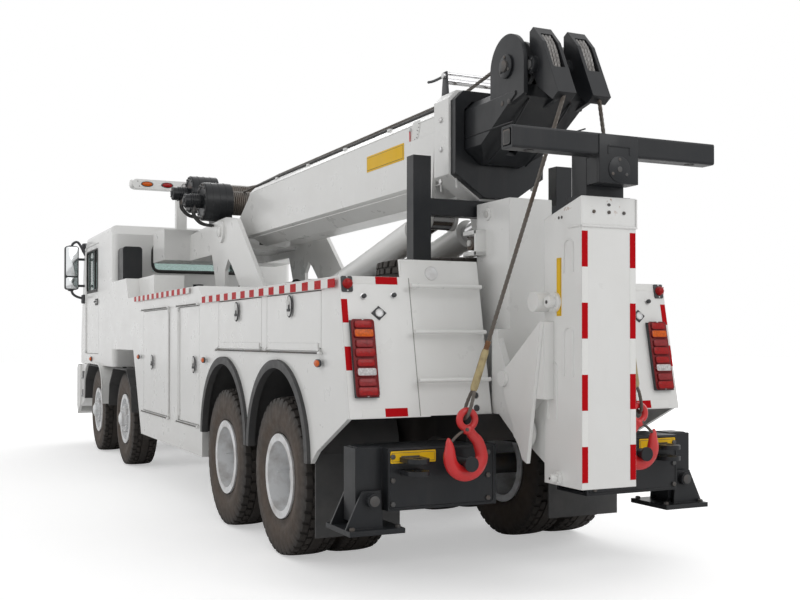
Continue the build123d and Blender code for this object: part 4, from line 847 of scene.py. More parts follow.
def evenLine(points, step):
    # the same line at even steps
    spots, left = [Vector(points[0])], 0.0
    for near, far in zip(points, points[1:]):
        near, far = Vector(near), Vector(far)
        run = (far - near).length
        reach = step - left
        while reach <= run:
            spots.append(near + (far - near) * (reach / run))
            reach += step
        left = run - (reach - step)
    if (spots[-1] - Vector(points[-1])).length > step * 0.3:
        spots.append(Vector(points[-1]))
    return spots


def addRope(bm, points, radius=ropeLook["radius"]):
    spots = evenLine(points, ropeLook["step"])
    count, lay, thick = ropeLook["strands"], radius * ropeLook["lay"], radius * ropeLook["strand"]
    ways = waysAlong(spots)
    side = ways[0].orthogonal().normalized()
    sides = []
    for way in ways:
        side = (side - way * side.dot(way)).normalized()
        sides.append(side)
    for strand in range(count):
        rings = []
        for i, (spot, way, side) in enumerate(zip(spots, ways, sides)):
            turn = 2 * math.pi * (i * ropeLook["step"] / ropeLook["pitch"] + strand / count)
            away = side * math.cos(turn) + way.cross(side) * math.sin(turn)
            over = way.cross(away)
            rings.append(addRing(bm, spot + away * lay, away * thick, over * thick, ropeLook["sides"]))
        skinRings(bm, rings)


# hoisting ropes: drum to boom, along the boom, over the sheaves and down to the hooks
hoist = {
    "sheave": (-5.030, 3.235), "sheaveGroove": 0.135, "sheaveY": 0.125,
    "fleetLine": ((-5.180, 3.215), (-5.30, 3.13), (-5.462, 2.985)),
    "hookEye": (-5.187, 0.632, 1.105), "ferruleTop": 1.47, "ferruleLow": 1.23,
    "drums": ((0.960, 3.080, 0.125), (1.530, 3.230, -0.125)), "drumRope": 0.132, "ropeHeight": 3.236,
    "guideX": -4.18, "rootBehind": 0.9, "eyeRope": 0.86, "eyeHalf": 0.030,
    "mouthLine": ((-5.262, 3.380), (-5.312, 3.318), (-5.350, 3.240), (-5.376, 3.152)), "mouthRadius": 0.0115,
    "mouthRows": (-0.024, 0.0, 0.024), "wrapRadius": 0.127, "wrapThick": 0.0115, "wrapTurns": 24,
    "wrapSteps": 20, "wrapStart": -0.285, "wrapPitch": 0.0237}


def ropePiece(name, body, line):
    bm = bmesh.new()
    addRope(bm, line)
    return makePiece(bm, name, body, [ropeSteel], 40.0)


def payOut(rope, start, end):
    # the end follows the boom head, the start stays on the rope's own body
    run = end - start
    group = rope.vertex_groups.new(name="paidOut")
    for vert in rope.data.vertices:
        share = (vert.co - start).dot(run) / run.length_squared
        group.add([vert.index], min(1.0, max(0.0, share)), "REPLACE")
    pull = rope.modifiers.new("paidOut", "HOOK")
    pull.object = bodies["boom_inner"]
    pull.vertex_group = group.name
    pull.matrix_inverse = bodies["boom_inner"].matrix_world.inverted() @ rope.matrix_world


def layFallRope(side):
    tag = sideTag[side]
    inFleet = [Vector((x, side * hoist["sheaveY"], z)) for x, z in hoist["fleetLine"]]
    top = inFleet[-1]
    eyeX, eyeY, eyeZ = hoist["hookEye"]
    low = Vector((eyeX, side * eyeY, eyeZ))
    join, ferruleLow = [top + (low - top) * ((hoist[level] - top.z) / (low.z - top.z))
                        for level in ("ferruleTop", "ferruleLow")]
    payOut(ropePiece("fallRope" + tag, "chassis", [*smoothLine(inFleet, 6), join]), join, top)

    # spliced eye below: brass ferrule and the loop through the hook's eye
    bm = bmesh.new()
    way = (low - top).normalized()
    run = (ferruleLow - join).length
    sleeve = [(-0.005, 0.013), (0.0, 0.019), (0.02, 0.022), (run - 0.02, 0.023), (run, 0.019),
              (run + 0.004, 0.012)]
    addLathe(bm, sleeve, join, way, 24, 1)
    for turn in range(5):
        spot = join + way * (-0.05 + turn * 0.011)
        addLathe(bm, [(-0.006, 0.0135), (-0.003, 0.0165), (0.003, 0.0165), (0.006, 0.0135)], spot, way, 16, 2)
    across = Vector((1, 0, 0))
    loop = [(ferruleLow, 0.0, 0.010), (ferruleLow, 0.05, 0.026), (low, 0.005, hoist["eyeHalf"])]
    down = [spot + way * reach - across * half for spot, reach, half in loop]
    back = [spot + way * reach + across * half for spot, reach, half in reversed(loop)]
    addRope(bm, smoothLine([*down, low + way * 0.045, *back], 8), ropeLook["radius"] * hoist["eyeRope"])
    makePiece(bm, "ropeEye" + tag, "chassis", [ropeSteel, ferruleBrass, rustyWrap], 40.0)


def layBoomRope(drumX, drumZ, y):
    tag = "L" if y > 0 else "R"
    sheaveX, sheaveZ = hoist["sheave"]
    groove, height = hoist["sheaveGroove"], hoist["ropeHeight"]
    drumTop = Vector((drumX, y, drumZ + hoist["drumRope"]))
    root = Vector((jointAt["boom_lift"][0] - hoist["rootBehind"], y, height))
    guide = Vector((hoist["guideX"], y, height))
    crest = Vector((sheaveX, y, sheaveZ + groove))
    first = ropePiece("drumRope" + tag, "chassis", [drumTop, root])
    first.parent = None
    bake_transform(first)
    ropePiece("boomRope" + tag, "boom", [root, guide])
    # this stretch lengthens as the inner section slides out
    payOut(ropePiece("guideRope" + tag, "boom", [guide, crest]), guide, crest)
    turns = [math.radians(10 * k) for k in range(12)]
    over = [(sheaveX - groove * math.sin(turn), y, sheaveZ + groove * math.cos(turn)) for turn in turns]
    ropePiece("sheaveRope" + tag, "boom_inner", over)


def windDrum(drumX, drumZ):
    # one layer of rope laid on the drum
    radius, steps = hoist["wrapRadius"], hoist["wrapSteps"]
    bm = bmesh.new()
    line = []
    for i in range(hoist["wrapTurns"] * steps + 1):
        turn = 2 * math.pi * i / steps
        y = hoist["wrapStart"] + hoist["wrapPitch"] * i / steps
        line.append((drumX + radius * math.cos(turn), y, drumZ + radius * math.sin(turn)))
    addTube(bm, line, hoist["wrapThick"], 0, 6)
    makePiece(bm, "drumWraps%03d" % round(drumX * 100), "chassis", [ropeSteel], 60.0)


for side in (1, -1):
    layFallRope(side)
for drumX, drumZ, y in hoist["drums"]:
    layBoomRope(drumX, drumZ, y)
    windDrum(drumX, drumZ)
print("ropes laid")


# boom: blank sign, angle gauge, seams, hoses and rope guide
boomLook = {
    "face": 0.300, "signX": (-2.956, -3.638), "signZ": (2.865, 2.990),
    "signForm": ((0.003, 0.0008, 0.008), (0.024, 0.024, 0.0036), (0.030, 0.030, 0.0040)),
    "gauge": (-3.80, 3.00), "gaugeReach": 0.11, "gaugeTicks": 12, "gaugeTurn": 7.5, "needle": 0.185,
    "seamZ": (2.605, 3.090), "seamEnd": 0.02, "collarX": (-4.236, -4.454), "collarZ": (2.55, 3.14),
    "collarBolts": [(-4.345, 0.360, z) for z in (2.60, 2.82, 3.02)],
    "clipX": (-0.55, -1.45, -2.35, -3.25), "clipZ": (3.148, 3.166), "hoseY": (0.215, -0.215),
    "hoseRadius": 0.013, "guideHalf": 0.235, "guideFoot": 3.145, "guideTop": 3.400, "rollerZ": 3.335,
    "mouthX": (-4.4495, -4.516),
    "mouthOuter": ((0.122, 2.486), (0.344, 2.6385), (0.344, 3.134), (0.284, 3.194)),
    "mouthInner": ((0.152, 2.7035), (0.2755, 2.797), (0.2755, 3.066), (0.2155, 3.1255))}


def addGauge(bm):
    # pendulum gauge on the left wall: a quarter dial, ticks, pin and needle
    face, reach, bend = boomLook["face"], boomLook["gaugeReach"], boomLook["gaugeTurn"]
    gaugeX, gaugeZ = boomLook["gauge"]
    hubX, hubZ = gaugeX + reach * 0.9, gaugeZ + reach
    ring = [Vector((gaugeX, face - 0.001, hubZ))]
    for step in range(boomLook["gaugeTicks"] + 1):
        turn = math.radians(step * bend)
        dialX, dialZ = 1.9 * reach * math.sin(turn), 1.9 * reach * math.cos(turn)
        ring.append(Vector((hubX - dialX, face - 0.001, hubZ - dialZ)))
    addPrism(bm, ring, (0, 0.006, 0), 0, 0.001)
    hub = Vector((hubX, face + 0.005, hubZ))
    for step in range(1, boomLook["gaugeTicks"]):
        turn = math.radians(step * bend)
        way = Vector((-math.sin(turn), 0, -math.cos(turn)))
        long = 0.03 if step % 3 == 0 else 0.016
        addRod(bm, hub + way * (reach * 1.86 - long), hub + way * reach * 1.86, 0.0022, 1, 6)
    pin = Vector((gaugeX + reach * 0.35, face, gaugeZ + reach * 0.55))
    addRod(bm, pin, pin + Vector((0, 0.022, 0)), 0.014, 2, 18, 0.002)
    needle = [(-0.008, 0.010, 0), (0, 0.010, -boomLook["needle"]), (0.008, 0.010, 0)]
    addPrism(bm, [pin + Vector(spot) for spot in needle], (0, 0.005, 0), 3)


def addRopeGuide(bm):
    # two uprights, a roller and a bent bar above the collar
    x, half, foot, top = hoist["guideX"], boomLook["guideHalf"], boomLook["guideFoot"], boomLook["guideTop"]
    for side in (1, -1):
        y = side * half
        addPrism(bm, [(x - 0.06, y, foot), (x + 0.06, y, foot), (x + 0.025, y, top), (x - 0.025, y, top)],
                 (0, side * 0.012, 0), 0, 0.003)
        addRod(bm, (x, y, top - 0.03), (x, side * (half + 0.03), top - 0.03), 0.020, 1, 18, 0.003)
    addRod(bm, (x, -half, boomLook["rollerZ"]), (x, half, boomLook["rollerZ"]), 0.022, 2, 24, 0.002)
    addRod(bm, (x, -half, top - 0.012), (x, half, top - 0.012), 0.011, 2, 16)
    bar = smoothLine([(x + 0.34, 0.20, 3.405), (x + 0.24, 0.20, 3.395), (x, 0.21, 3.392)], 8)
    addTube(bm, bar, 0.010, 0, 10)


def dressBoom():
    face = boomLook["face"]
    size = (spanOf(boomLook["signX"]), spanOf(boomLook["signZ"]))
    bm = bmesh.new()
    for side in (1, -1):
        middle = (midOf(boomLook["signX"]), side * face, midOf(boomLook["signZ"]))
        addSign(bm, middle, (0, side, 0), size, boomLook["signForm"])
    makePiece(bm, "boomBlankSigns", "boom", [signPaint, cabinTrim])
    bm = bmesh.new()
    addGauge(bm)
    makePiece(bm, "boomAngleGauge", "boom", [whiteTape, cabinTrim, brightSteel, redPaint])

    # weld beads along the box and round the collar, hose clips on top
    bm = bmesh.new()
    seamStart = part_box("boom_outer")[0].x + 0.30
    lowZ, highZ = boomLook["collarZ"]
    for side in (1, -1):
        for z in boomLook["seamZ"]:
            addRod(bm, (seamStart, side * face, z), (boomLook["seamEnd"], side * face, z), 0.004, 0, 8)
        y = side * (face + 0.004)
        for x in boomLook["collarX"]:
            addRod(bm, (x, y, lowZ), (x, y, highZ), 0.007, 0, 8)
    clipLow, clipTop = boomLook["clipZ"]
    for x in boomLook["clipX"]:
        for y in boomLook["hoseY"]:
            addBox(bm, (x - 0.025, y - 0.035, clipLow), (x + 0.025, y + 0.035, clipTop), 0, 0.005)
    makePiece(bm, "boomWeldBeads", "boom", [whitePaint])
    bm = bmesh.new()
    for y in boomLook["hoseY"]:
        line = [(0.30, y * 0.8, 2.92), (0.18, y, 3.14), (0.0, y, 3.176), (-1.4, y + 0.006, 3.174),
                (-2.8, y - 0.005, 3.175), (-4.10, y, 3.176), (-4.20, y, 3.20)]
        addTube(bm, smoothLine(line, 10), boomLook["hoseRadius"], 0, 10)
    makePiece(bm, "boomHoses", "boom", [hoseRubber])
    bm = bmesh.new()
    addRopeGuide(bm)
    makePiece(bm, "ropeGuide", "boom", [charcoalPaint, brightSteel, chromeRod])
    bm = bmesh.new()
    for side in (1, -1):
        for x, y, z in boomLook["collarBolts"]:
            addBoss(bm, (x, side * y, z), (0, side, 0), 0.020, (0.010, 0.012, 0.8), 0, 6)
    makePiece(bm, "collarBolts", "boom", [brightSteel])


dressBoom()


# head: pins, weld seams and ropes of the inner section, and the sleeve that it slides in
headLook = {
    "cheek": 0.260, "bossRise": 0.012, "plateBolts": ((-4.99, 3.010), (-5.07, 3.010)),
    "foldBead": (-4.52, -5.12, 0.268, 2.875),
    "bellyBead": ((-4.60, 0.150, 2.704), (-4.80, 0.150, 2.800), (-5.12, 0.155, 3.022)),
    "blockPin": (-5.232, 3.203), "blockHalf": 0.098}


def dressHead():
    bm = bmesh.new()
    sheaveX, sheaveZ = hoist["sheave"]
    pinX, pinZ = headLook["blockPin"]
    startX, endX, beadY, beadZ = headLook["foldBead"]
    for side in (1, -1):
        out = (0, side, 0)
        cheek = side * headLook["cheek"]
        raised = side * (headLook["cheek"] + headLook["bossRise"])
        addBoss(bm, (sheaveX, cheek, sheaveZ), out, 0.075, (0.012, 0.015, 0.94), 0, 36)
        addBoss(bm, (sheaveX, raised, sheaveZ), out, 0.036, (0.014, 0.018, 0.8), 1, 28)
        boltRing(bm, (sheaveX, raised, sheaveZ), out, 0.055, 3, 0.011, (0.008, 0.009, 0.7), start=90)
        for x, z in headLook["plateBolts"]:
            addBoss(bm, (x, cheek, z), out, 0.018, (0.010, 0.013, 0.7), 1, 6)
        addRod(bm, (startX, side * beadY, beadZ), (endX, side * beadY, beadZ), 0.005, 0, 8)
        addTube(bm, smoothLine([(x, side * y, z) for x, y, z in headLook["bellyBead"]], 4), 0.006, 0, 8)
        block = (pinX, side * (hoist["sheaveY"] + headLook["blockHalf"]), pinZ)
        addBoss(bm, block, out, 0.030, (0.006, 0.010, 0.7), 1, 24)
        boltRing(bm, block, out, 0.042, 4, 0.007, (0.005, 0.006, 0.7), start=45)
    makePiece(bm, "headPinsAndBeads", "boom_inner", [charcoalPaint, castSteel])

    # strands over the small sheaves, seen in the mouths of the fleet blocks, in a lighter steel than the
    # rope: painted sheen
    bm = bmesh.new()
    for side in (1, -1):
        for across in hoist["mouthRows"]:
            y = side * hoist["sheaveY"] + across
            addRope(bm, smoothLine([(x, y, z) for x, z in hoist["mouthLine"]], 6), hoist["mouthRadius"])
    makePiece(bm, "fleetRopes", "boom_inner", [strandSteel], 40.0)

    # black sleeve over the collar's end plate
    bm = bmesh.new()
    front, rear = boomLook["mouthX"]
    rings = []
    outer, inner = boomLook["mouthOuter"], boomLook["mouthInner"]
    for half, x in ((outer, front), (outer, rear), (inner, rear), (inner, front)):
        rings.append([bm.verts.new((x, y, z)) for y, z in [*half, *((-y, z) for y, z in reversed(half))]])
    skinRings(bm, rings, closed=True)
    makePiece(bm, "boomMouthPlate", "boom", [charcoalPaint])


dressHead()
print("boom dressed")


# folded underlift: tape, signs, cap band, hand holes and pin bosses
armLook = {
    "rearX": -5.725, "half": 0.190, "tapeY": 0.168, "tapeWide": 0.040, "tapeZ": (0.720, 2.150),
    "tapePiece": 0.205, "signX": (-5.478, -5.525), "signZ": (1.670, 2.010),
    "signForm": ((0.0025, 0.0006, 0.004), (0.010, 0.012, 0.0030), (0.013, 0.015, 0.0034)),
    "bandZ": 2.180, "bandFront": -5.60, "capTop": 2.345, "capHoles": ((-5.50, 2.245), (-5.53, 2.245)),
    "capBolts": (-0.105, 0.0, 0.105), "capBoltZ": 2.262, "capEyeZ": 2.305,
    "slots": ((-5.600, 1.92, 2.11), (-5.600, 1.32, 1.60), (-5.430, 1.06, 1.40)),
    "slotRim": ((0.035, 0.012), (0.045, 0.05)),
    "bosses": ((-5.465, 1.752, 0.060), (-5.497, 0.724, 0.040))}


def slotLine(x, y, low, high):
    # up one side of a hand hole, over its round top and down again
    (nearX, nearDrop), (farX, farDrop) = armLook["slotRim"]
    left = [(x - farX, y, low), (x - farX, y, high - farDrop), (x - nearX, y, high - nearDrop)]
    right = [(x + nearX, y, high - nearDrop), (x + farX, y, high - farDrop), (x + farX, y, low)]
    return smoothLine([*left, (x, y, high), *right], 4)


def dressArm():
    rear, half, bandZ = armLook["rearX"], armLook["half"], armLook["bandZ"]
    lowZ, highZ = armLook["tapeZ"]
    bm = bmesh.new()
    for side in (1, -1):
        y = side * armLook["tapeY"]
        addTape(bm, (rear, y, lowZ), (rear, y, highZ), (-1, 0, 0), armLook["tapeWide"], armLook["tapePiece"])
    makePiece(bm, "armTape", "underlift", [redTape, whiteTape])
    bm = bmesh.new()
    size = (spanOf(armLook["signX"]), spanOf(armLook["signZ"]))
    for side in (1, -1):
        middle = (midOf(armLook["signX"]), side * half, midOf(armLook["signZ"]))
        addSign(bm, middle, (0, side, 0), size, armLook["signForm"])
    makePiece(bm, "armBlankSigns", "underlift", [signPaint, cabinTrim])

    # cap band with its folded lip, bolts and the welded rims of the hand holes
    bm = bmesh.new()
    lipX, lipY = rear - 0.004, half + 0.004
    edgeX, edgeY = rear - 0.003, half + 0.003
    addRod(bm, (lipX, lipY, bandZ), (lipX, -lipY, bandZ), 0.008, 0, 12)
    for side in (1, -1):
        out = (0, side, 0)
        addRod(bm, (lipX, side * lipY, bandZ), (armLook["bandFront"], side * lipY, bandZ), 0.007, 0, 12)
        addRod(bm, (edgeX, side * edgeY, bandZ), (edgeX, side * edgeY, armLook["capTop"]), 0.006, 0, 12)
        for x, low, high in armLook["slots"]:
            addTube(bm, slotLine(x, side * (half + 0.001), low, high), 0.006, 0, 8)
        # dark steel discs at the cap holes: painted shade inside the holes
        for x, z in armLook["capHoles"]:
            addDisc(bm, (x, side * half, z), out, 0.009, 0.002, 1, 14)
    for y in armLook["capBolts"]:
        addBoss(bm, (rear, y, armLook["capBoltZ"]), (-1, 0, 0), 0.010, (0.006, 0.008, 0.6), 1, 14)
    addOval(bm, (rear, 0.0, armLook["capEyeZ"]), (-1, 0, 0), (0.012, 0.009), [(-0.001, 1), (0.002, 1)], 1, 14)
    makePiece(bm, "armCapBand", "underlift", [armPaint, castSteel])

    # flanged pin bosses on both side plates
    bm = bmesh.new()
    for x, z, size in armLook["bosses"]:
        for side in (1, -1):
            out = (0, side, 0)
            spot = (x, side * half, z)
            addBoss(bm, spot, out, size, (0.020, 0.024, 0.95), 0, 36, -0.002)
            addBoss(bm, spot, out, size * 0.58, (0.060, 0.064, 0.9), 0, 32, 0.02)
            addOval(bm, spot, out, (size * 0.18, size * 0.18), [(0.06, 1), (0.067, 1)], 1, 12)
            boltRing(bm, (x, side * (half + 0.022), z), out, size * 0.8, 4, 0.009, (0.008, 0.009, 0.7), 0, 45)
    makePiece(bm, "armPinBosses", "underlift", [whitePaint, castSteel])


dressArm()


# crossbar and its bracket: plugs, bolts and weld beads
barLook = {
    "barZ": (2.570, 2.695), "plugX": 0.058,
    # plugs in the bar's ends: size, thick, finish, bevel, corner
    "plugs": (((0.072, 0.086), 0.004, 1, 0.002, 0.012), ((0.052, 0.066), 0.005, 2, 0.0, 0.008)),
    "pinHoleY": 0.560, "bracketHalf": 0.135, "plateProud": 0.006, "tabHalf": 0.075, "tabZ": (0.085, 0.130)}


def dressCrossbar():
    low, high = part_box("crossbar")
    rear = low.x
    barLow, barHigh = barLook["barZ"]
    half, plugX = barLook["bracketHalf"], rear + barLook["plugX"]
    pivotZ = jointAt["bar_swivel"][2]
    bm = bmesh.new()
    for side in (1, -1):
        for plug in barLook["plugs"]:
            addPlate(bm, (plugX, side * high.y, (barLow + barHigh) / 2), (0, side, 0), *plug)
        # black disc under the bar at each pin hole: painted shade of the hole
        addDisc(bm, (plugX, side * barLook["pinHoleY"], barLow), (0, 0.001, -1), 0.030, 0.003, 2, 24)
        y, z = side * half, barLow + 0.001
        addRod(bm, (rear + 0.004, y, z), (rear + 0.112, y, z), 0.006, 0, 8)
    addRod(bm, (rear + 0.013, -half, barLow - 0.001), (rear + 0.013, half, barLow - 0.001), 0.006, 0, 8)

    # hub plate over the swivel, with its tab and bolts
    face = rear - barLook["plateProud"]
    addBox(bm, (face, -half, pivotZ - 0.080), (rear + 0.016, half, barHigh - 0.004), 0, 0.003)
    addBoss(bm, (face, 0, pivotZ), (-1, 0, 0), 0.074, (0.005, 0.007, 0.95), 0, 40)
    addBoss(bm, (face - 0.007, 0, pivotZ), (-1, 0, 0), 0.016, (0.002, 0.003, 0.8), 1, 24)
    tab = barLook["tabHalf"]
    tabLow, tabTop = [pivotZ + rise for rise in barLook["tabZ"]]
    for side in (1, -1):
        addRod(bm, (face, side * tab, tabLow), (face, side * tab, tabTop), 0.005, 0, 8)
    addRod(bm, (face, -tab, tabTop), (face, tab, tabTop), 0.005, 0, 8)
    boltRing(bm, (face - 0.006, 0, pivotZ), (-1, 0, 0), 0.055, 3, 0.010, (0.003, 0.004, 0.7), start=90)
    makePiece(bm, "crossbarFittings", "crossbar", [charcoalPaint, castSteel, hoseRubber])


dressCrossbar()
print("underlift dressed")


# cab: windows, grille, lamps, mirrors, steps and fenders
cabLook = {
    "half": 1.200, "front": 5.640, "rear": 3.100, "cowl": (5.640, 1.900), "brow": (5.470, 2.780),
    "screenHalf": 1.060, "screenZ": (1.985, 2.715), "rearGlass": (0.690, 2.420, 2.760),
    "wipers": ((0.72, -0.12), (-0.20, -0.98)), "wiperZ": (1.950, 2.090), "blade": (0, 0.37, 0.035),
    "visor": ((5.500, 2.845), (5.735, 2.735), (5.747, 2.752), (5.505, 2.872)), "visorHalf": 1.02,
    "visorArms": (-0.7, 0.0, 0.7), "doorGlass": (4.225, 5.105, 2.220, 2.785), "quarterX": 4.480,
    "handle": (0.075, -0.170), "handleSize": (0.230, 0.090),
    "grip": ((-0.075, 0.018, 0.0), (0.0, 0.030, 0.004), (0.075, 0.018, 0.0))}
frontLook = {
    "grilleHalf": 0.760, "grilleZ": (1.270, 1.800), "grilleBars": 6, "brightBars": (1, 3), "bumper": 5.815,
    "barForm": ((0.010, -0.30), (0.052, -0.08), (0.052, 0.12), (0.010, 0.36)),
    "lampY": 0.960, "lampZ": 0.800, "lampSize": (0.330, 0.190), "bulbs": ((-0.085, 0.068), (0.060, 0.060)),
    "bulbRows": [(-0.001, 1.0), (0.006, 1.0), (0.006, 0.90), (0.002, 0.55), (0.002, 0.40), (0.010, 0.30)],
    "slatZ": (0.940, 0.985, 1.030), "slatHalf": 0.72, "fogLamp": (0.55, 0.640), "towEye": (0.34, 0.600),
    "stepX": (-0.250, -0.075), "stepHalf": 1.225, "stepZ": (1.158, 1.166)}


def screenX(z):
    cowlX, cowlZ = cabLook["cowl"]
    browX, browZ = cabLook["brow"]
    return cowlX - (cowlX - browX) * (z - cowlZ) / (browZ - cowlZ)


def crossRim(low, high):
    # the corners of an upright opening across the truck, low and high being (x, y, z)
    (lowX, lowY, lowZ), (highX, highY, highZ) = low, high
    return [(lowX, lowY, lowZ), (lowX, highY, lowZ), (highX, highY, highZ), (highX, lowY, highZ)]


def dressCabGlass():
    lowZ, highZ = cabLook["screenZ"]
    half = cabLook["screenHalf"]
    bm = bmesh.new()
    rim = crossRim((screenX(lowZ), -half, lowZ), (screenX(highZ), half, highZ))
    addTube(bm, roundedRing(rim, 0.09), 0.020, 0, 8)
    rearHalf, rearLow, rearHigh = cabLook["rearGlass"]
    x = cabLook["rear"]
    rim = crossRim((x, -rearHalf, rearLow), (x, rearHalf, rearHigh))
    addTube(bm, roundedRing(rim, 0.10), 0.022, 0, 8)
    # wipers rest along the lower edge
    pivotZ, tipZ = cabLook["wiperZ"]
    blade = Vector(cabLook["blade"])
    for pivotY, tipY in cabLook["wipers"]:
        pivot = Vector((screenX(pivotZ) + 0.030, pivotY, pivotZ))
        arm = Vector((screenX(tipZ) + 0.034, tipY, tipZ)) - pivot
        addLathe(bm, [(-0.02, 0.026), (0.012, 0.026), (0.020, 0.016)], pivot, (1, 0, 0.2), 18, 0)
        addTube(bm, [pivot, pivot + arm * 0.5 + Vector((0.014, 0, 0.02)), pivot + arm], 0.009, 0, 8)
        middle = pivot + arm * 0.56 + Vector((0.004, 0, 0.035))
        addTube(bm, [middle - blade, middle, middle + blade], 0.010, 0, 6)
    makePiece(bm, "cabSeals", "chassis", [hoseRubber])

    # visor on its brackets above the screen
    bm = bmesh.new()
    wide = cabLook["visorHalf"]
    addPrism(bm, [(x, -wide, z) for x, z in cabLook["visor"]], (0, 2 * wide, 0), 0, 0.006)
    for y in cabLook["visorArms"]:
        addBox(bm, (5.44, y - 0.02, 2.815), (5.56, y + 0.02, 2.865), 1, 0.005)
    makePiece(bm, "sunVisor", "chassis", [smokedPlastic, cabinTrim])
    for side in (1, -1):
        dressCabDoor(side)


def dressCabDoor(side):
    startX, endX, sill, top = cabLook["doorGlass"]
    quarter = cabLook["quarterX"]
    out = (0, side, 0)
    face = side * cabLook["half"]
    glassY = face - side * 0.024
    bm = bmesh.new()
    addPlate(bm, ((startX + endX) / 2, glassY, (sill + top) / 2), out,
             (endX - startX + 0.008, top - sill + 0.008), 0.005, 1)
    rim = [(startX, face, sill), (endX, face, sill), (endX, face, top), (startX, face, top)]
    addTube(bm, roundedRing(rim, 0.05), 0.013, 0, 8)
    nearY, farY = sorted((face, glassY))
    addBox(bm, (quarter - 0.016, nearY - 0.002, sill), (quarter + 0.016, farY + 0.004, top), 0, 0.003)
    addBox(bm, (startX, face, sill - 0.030), (endX, face + side * 0.008, sill - 0.012), 0, 0.003)
    x, z = startX + cabLook["handle"][0], sill + cabLook["handle"][1]
    addPlate(bm, (x, face, z), out, cabLook["handleSize"], 0.006, 0, 0.002, 0.02)
    grip = [(x + dx, face + side * proud, z + rise) for dx, proud, rise in cabLook["grip"]]
    addTube(bm, smoothLine(grip, 6), 0.011, 0, 10)
    addBoss(bm, (x + 0.130, face, z), out, 0.014, (0.004, 0.005, 0.5), 2, 16)
    tag = sideTag[side]
    makePiece(bm, "cabDoorGlass" + tag, "cab_door_" + tag.lower(),
              [hoseRubber, cabGlass, brightSteel])


def dressGrille():
    front, half = cabLook["front"], frontLook["grilleHalf"]
    lowZ, highZ = frontLook["grilleZ"]
    bm = bmesh.new()
    addPlate(bm, (front, 0, (lowZ + highZ) / 2), (1, 0, 0), (2 * half, highZ - lowZ), 0.014, 0, 0.005, 0.06)
    gap = (highZ - lowZ - 0.10) / frontLook["grilleBars"]
    for bar in range(frontLook["grilleBars"]):
        z = lowZ + 0.05 + gap * (bar + 0.5)
        section = [(front + out, -half + 0.07, z + gap * rise) for out, rise in frontLook["barForm"]]
        addPrism(bm, section, (0, 2 * half - 0.14, 0), 0, 0.004)
        if bar in frontLook["brightBars"]:
            long = half - 0.10
            addBox(bm, (front + 0.050, -long, z - 0.006), (front + 0.058, long, z + 0.010), 1, 0.003)
    rim = crossRim((front + 0.012, -half, lowZ), (front + 0.012, half, highZ))
    addTube(bm, roundedRing(rim, 0.07), 0.014, 1, 8)
    makePiece(bm, "frontGrille", "chassis", [cabinTrim, brightSteel])


def dressHeadLamp(side):
    bumper, z = frontLook["bumper"], frontLook["lampZ"]
    y = side * frontLook["lampY"]
    wide, tall = frontLook["lampSize"]
    ahead = (1, 0, 0)
    bm = bmesh.new()
    rim = crossRim((bumper, y - wide / 2, z - tall / 2), (bumper, y + wide / 2, z + tall / 2))
    addTube(bm, roundedRing(rim, 0.04), 0.012, 0, 8)
    for shift, size in frontLook["bulbs"]:
        addOval(bm, (bumper, y + side * shift, z), ahead, (size, size), frontLook["bulbRows"], 1, 32)
    addPlate(bm, (bumper, y + side * 0.140, z), ahead, (0.036, 0.150), 0.007, 3, 0.003, 0.010)
    addPlate(bm, (bumper + 0.009, y, z), ahead, (wide - 0.016, tall - 0.016), 0.004, 2, 0.002, 0.036)
    makePiece(bm, "headLamp" + sideTag[side], "chassis",
              [cabinTrim, chromeRod, cabGlass, amberLens])


def dressBumper():
    bumper, half = frontLook["bumper"], frontLook["slatHalf"]
    ahead = (1, 0, 0)
    bm = bmesh.new()
    addPlate(bm, (bumper, 0, 0.700), ahead, (0.540, 0.150), 0.008, 1, 0.002, 0.012)  # bare plate
    addPlate(bm, (bumper, 0, 0.985), ahead, (1.500, 0.150), 0.006, 0, 0.003, 0.03)
    for z in frontLook["slatZ"]:
        addBox(bm, (bumper + 0.003, -half, z - 0.008), (bumper + 0.014, half, z + 0.008), 0, 0.003)
    fogY, fogZ = frontLook["fogLamp"]
    eyeY, eyeZ = frontLook["towEye"]
    for side in (1, -1):
        spot = (bumper, side * fogY, fogZ)
        addOval(bm, spot, ahead, (0.070, 0.045), [(-0.001, 1), (0.010, 1), (0.012, 0.9)], 0, 32)
        addOval(bm, spot, ahead, (0.058, 0.035), [(0.010, 1), (0.016, 0.96), (0.019, 0.6)], 2, 32)
        addOval(bm, (bumper, side * eyeY, eyeZ), ahead, (0.038, 0.038),
                [(-0.001, 1), (0.006, 1), (0.006, 0.7), (0.002, 0.6)], 0, 24)
    (rearX, frontX), (lowZ, highZ), half = frontLook["stepX"], frontLook["stepZ"], frontLook["stepHalf"]
    addBox(bm, (bumper + rearX, -half, lowZ), (bumper + frontX, half, highZ), 3, 0.003)
    makePiece(bm, "bumperFittings", "chassis", [cabinTrim, whiteTape, clearLens, deckPlate])


mirrorLook = {
    "at": (5.380, 1.385), "z": (2.260, 2.900), "back": 0.0475, "split": 0.19, "glassWide": 0.170,
    "armRadius": 0.018, "hoodRadius": 0.045,
    # hood: out from the glass, lower or upper end, rise
    "hood": ((0.095, 0, -0.002), (0.118, 0, 0.10), (0.120, 1, -0.10), (0.095, 1, 0.002)),
    "kerb": (5.62, 1.10, 2.90), "kerbArm": ((5.30, 1.16, 2.86), (5.50, 1.16, 2.95))}


